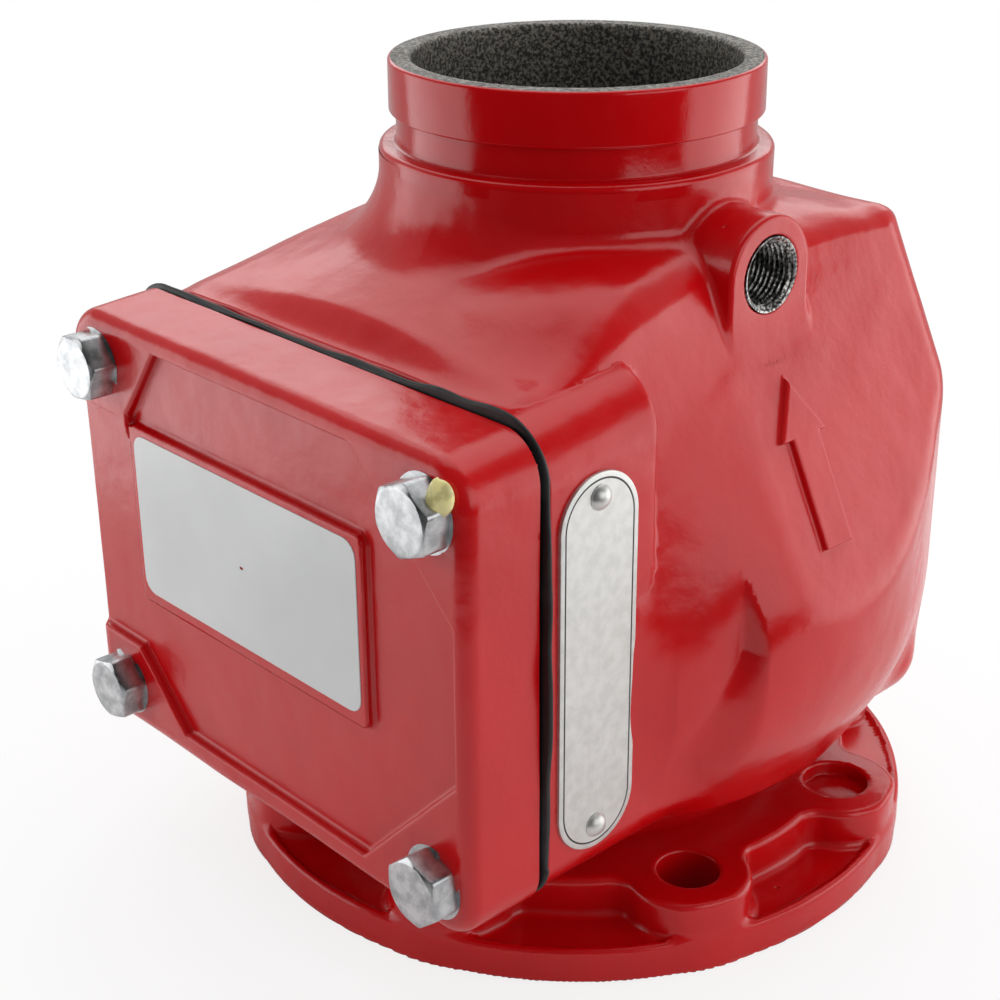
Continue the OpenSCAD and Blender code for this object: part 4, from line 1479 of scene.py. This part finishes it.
@dataclass
class Clapper:
    """Finishes of the pieces inside, which keep their CAD shapes."""

    finishes: Finishes

    def build(self) -> None:
        """Gives each inner node its finish."""
        kinds = {
            "bronze": ["seat_ring", "clapper_disc", "hinge_bushing_front", "hinge_bushing_rear"],
            "rubber": ["seat_seal_inner", "seat_seal_outer", "clapper_facing"],
            "iron": ["clapper_arm"],
            "steel": ["facing_retainer", "facing_bolt", "disc_washer", "disc_nut", "hinge_pin",
                      "hinge_ring_front", "hinge_ring_rear"],
        }
        for kind, names in kinds.items():
            for name in names:
                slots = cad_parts[name].data.materials
                slots.clear()
                slots.append(getattr(self.finishes, kind))
                LOG.info("%s: %s", name, kind)


# The studio

@dataclass
class Studio:
    """Floor, lamps and the camera of the photograph."""

    azimuth: float = 44.91
    distance: float = 566.7
    height: float = 362.9
    focal: float = 67.07
    yaw: float = 2.44
    pitch: float = -23.98
    roll: float = -0.44
    rise: float = -0.007
    fill: float = 0.3
    table_r: float = 430

    def build(self) -> None:
        """Makes the floor, the lamps and the camera."""
        scene = bpy.context.scene
        scene.view_settings.view_transform = "Standard"
        self.build_world(scene)
        self.build_floor()
        for name, place, size, power in (("lamp_right", (0.636, 0.772, 0.065), (1.0, 0.97), 5.9),
                                         ("lamp_wing", (0.95, 0.04, 0.42), (0.7, 0.6), 2.3),
                                         ("lamp_left", (-0.749, -0.663, 0.065), (1.0, 0.97), 5.6),
                                         ("lamp_behind", (-0.60, 0.60, 0.62), (1.3, 0.40), 2.6),
                                         ("lamp_top", (-0.2, 0.2, 1.05), (1.3, 1.1), 5.2)):
            self.build_lamp(name, place, size, power)
        self.build_camera(scene)

    def build_world(self, scene: bpy.types.Scene) -> None:
        """White for the camera, a backdrop behind the valve for mirrored rays, and a soft fill as light.

        Args:
            scene: The scene that gets the world.
        """
        world = bpy.data.worlds.new("studio")
        scene.world = world
        world.use_nodes = True
        tree = world.node_tree
        back = tree.nodes["Background"]
        back.inputs["Color"].default_value = (1, 1, 1, 1)
        rays = node(tree, "ShaderNodeLightPath").outputs
        way = node(tree, "ShaderNodeTexCoord").outputs["Generated"]
        behind = node(tree, "ShaderNodeVectorMath", {0: way, 1: (-0.707, 0.707, 0.0)},
                      operation="DOT_PRODUCT")
        backdrop = maths(tree, "MULTIPLY_ADD", ramp(tree, behind.outputs["Value"], -0.15, 0.35), 0.5, 0.01)
        mirrored = maths(tree, "MAXIMUM", rays["Is Glossy Ray"], rays["Is Transmission Ray"])
        up = node(tree, "ShaderNodeVectorMath", {0: way, 1: (0.0, 0.0, 0.3)}, operation="DOT_PRODUCT")
        soft = maths(tree, "ADD", maths(tree, "MAXIMUM", up.outputs["Value"], 0.0), self.fill)
        level = node(tree, "ShaderNodeMix", {0: mirrored, 2: soft, 3: backdrop}).outputs[0]
        feed(tree, back.inputs["Strength"], maths(tree, "MAXIMUM", level, rays["Is Camera Ray"]))

    def build_floor(self) -> None:
        """A round pale table under the flange, white to the camera at its rim, with the valve's shadow."""
        radius = np.array([0.1, self.table_r / 2, self.table_r])
        angle = np.arange(64) / 64 * TURN
        x, y = np.outer(radius, np.cos(angle)), np.outer(radius, np.sin(angle))
        skin = grid(np.stack([x, y, 0 * x - 0.05], -1), wrap_columns=True).flipped()
        mesh = bpy.data.meshes.new("floor")
        mesh.from_pydata((skin.points * MM).tolist(), [], skin.faces.tolist())
        tree, shader = Finish("floor", (0.93, 0.93, 0.93, 1), 0.9).start()
        apart = node(tree, "ShaderNodeVectorMath", {0: place_of(tree)}, operation="LENGTH").outputs["Value"]
        rim = ramp(tree, apart, 0.55 * self.table_r * MM, 0.95 * self.table_r * MM)
        lit = maths(tree, "MULTIPLY_ADD", rim, 0.2, 0.8)
        seen = node(tree, "ShaderNodeLightPath").outputs["Is Camera Ray"]
        white = node(tree, "ShaderNodeEmission", {"Color": (1, 1, 1, 1), "Strength": 1.0}).outputs[0]
        mixed = node(tree, "ShaderNodeMixShader", {0: maths(tree, "MULTIPLY", seen, lit)})
        tree.links.new(shader.outputs[0], mixed.inputs[1])
        tree.links.new(white, mixed.inputs[2])
        tree.links.new(mixed.outputs[0], tree.nodes["Material Output"].inputs["Surface"])
        mesh.materials.append(bpy.data.materials["floor"])
        floor = bpy.data.objects.new("floor", mesh)
        bpy.context.scene.collection.objects.link(floor)

    def build_lamp(self, name: str, place: tuple[float, float, float], size: tuple[float, float],
                   power: float) -> None:
        """A soft box that looks at the middle of the valve.

        Args:
            name: Name of the lamp.
            place: Its middle, in metres.
            size: Width and height in metres.
            power: Watts.
        """
        lamp = bpy.data.lights.new(name, "AREA")
        lamp.shape = "RECTANGLE"
        lamp.size, lamp.size_y = size
        lamp.energy = power
        made = bpy.data.objects.new(name, lamp)
        bpy.context.scene.collection.objects.link(made)
        middle = np.array([0, 0, 0.12])
        away = np.array(place) - middle
        away = away / np.linalg.norm(away)
        side = np.cross([0, 0, 1], away)
        side = side / np.linalg.norm(side)
        up = np.cross(away, side)
        made.matrix_world = Matrix([[side[i], up[i], away[i], place[i]] for i in range(3)] + [[0, 0, 0, 1]])

    def build_camera(self, scene: bpy.types.Scene) -> None:
        """The photograph's camera, from its place, heading, tilt and roll.

        Args:
            scene: The scene that gets the camera.
        """
        a = math.radians(self.azimuth)
        place = np.array([self.distance * math.sin(a), -self.distance * math.cos(a), self.height]) * MM
        heading, tilt, roll = (math.radians(v) for v in (self.azimuth + self.yaw, self.pitch, self.roll))
        ahead = np.array([-math.sin(heading) * math.cos(tilt), math.cos(heading) * math.cos(tilt),
                          math.sin(tilt)])
        right = np.cross(ahead, [0, 0, 1])
        right = right / np.linalg.norm(right)
        up = np.cross(right, ahead)
        across = math.cos(roll) * right + math.sin(roll) * up
        upward = math.cos(roll) * up - math.sin(roll) * right
        data = bpy.data.cameras.new("camera")
        data.sensor_width = 36
        data.lens = self.focal
        data.shift_y = self.rise
        data.clip_start, data.clip_end = 0.01, 50
        camera = bpy.data.objects.new("camera", data)
        rows = [[across[i], upward[i], -ahead[i], place[i]] for i in range(3)]
        camera.matrix_world = Matrix(rows + [[0, 0, 0, 1]])
        scene.collection.objects.link(camera)
        scene.camera = camera


def main() -> None:
    """Builds every sub-assembly in order."""
    logging.basicConfig(level=logging.INFO, format="%(name)s %(message)s")
    Studio().build()
    finishes = Finishes()
    casting = Casting(finishes)
    casting.build()
    FlowArrow(casting).build()
    OutletEnd(finishes).build()
    Port("gauge_thread", face_x=79.0, centre=(0, 204), crest_r=9.5, pitch=1.814, length=18,
         way_r=7.15, way_length=12, finishes=finishes).build()
    Port("drain_thread", face_x=-104.0, centre=(-10, 112), crest_r=27.2, pitch=2.209, length=20,
         way_r=27.0, way_length=2, finishes=finishes, side=-1).build()
    Port("alarm_thread", face_x=-104.0, centre=(-6.5, 51), crest_r=11.0, pitch=1.814, length=20,
         way_r=5, way_length=24, finishes=finishes, side=-1).build()
    Handhole(finishes).build()
    for name, x, z, turn in (("upper_left", -76.25, 169.5, 8), ("upper_right", 76.25, 169.5, 22),
                             ("lower_left", -76.25, 58.5, 15), ("lower_right", 76.25, 58.5, 40)):
        CoverBolt(name, x, z, turn, finishes).build()
    GlueDrop(finishes).build()
    Nameplate(finishes).build()
    Clapper(finishes).build()


if __name__ == "__main__":
    main()
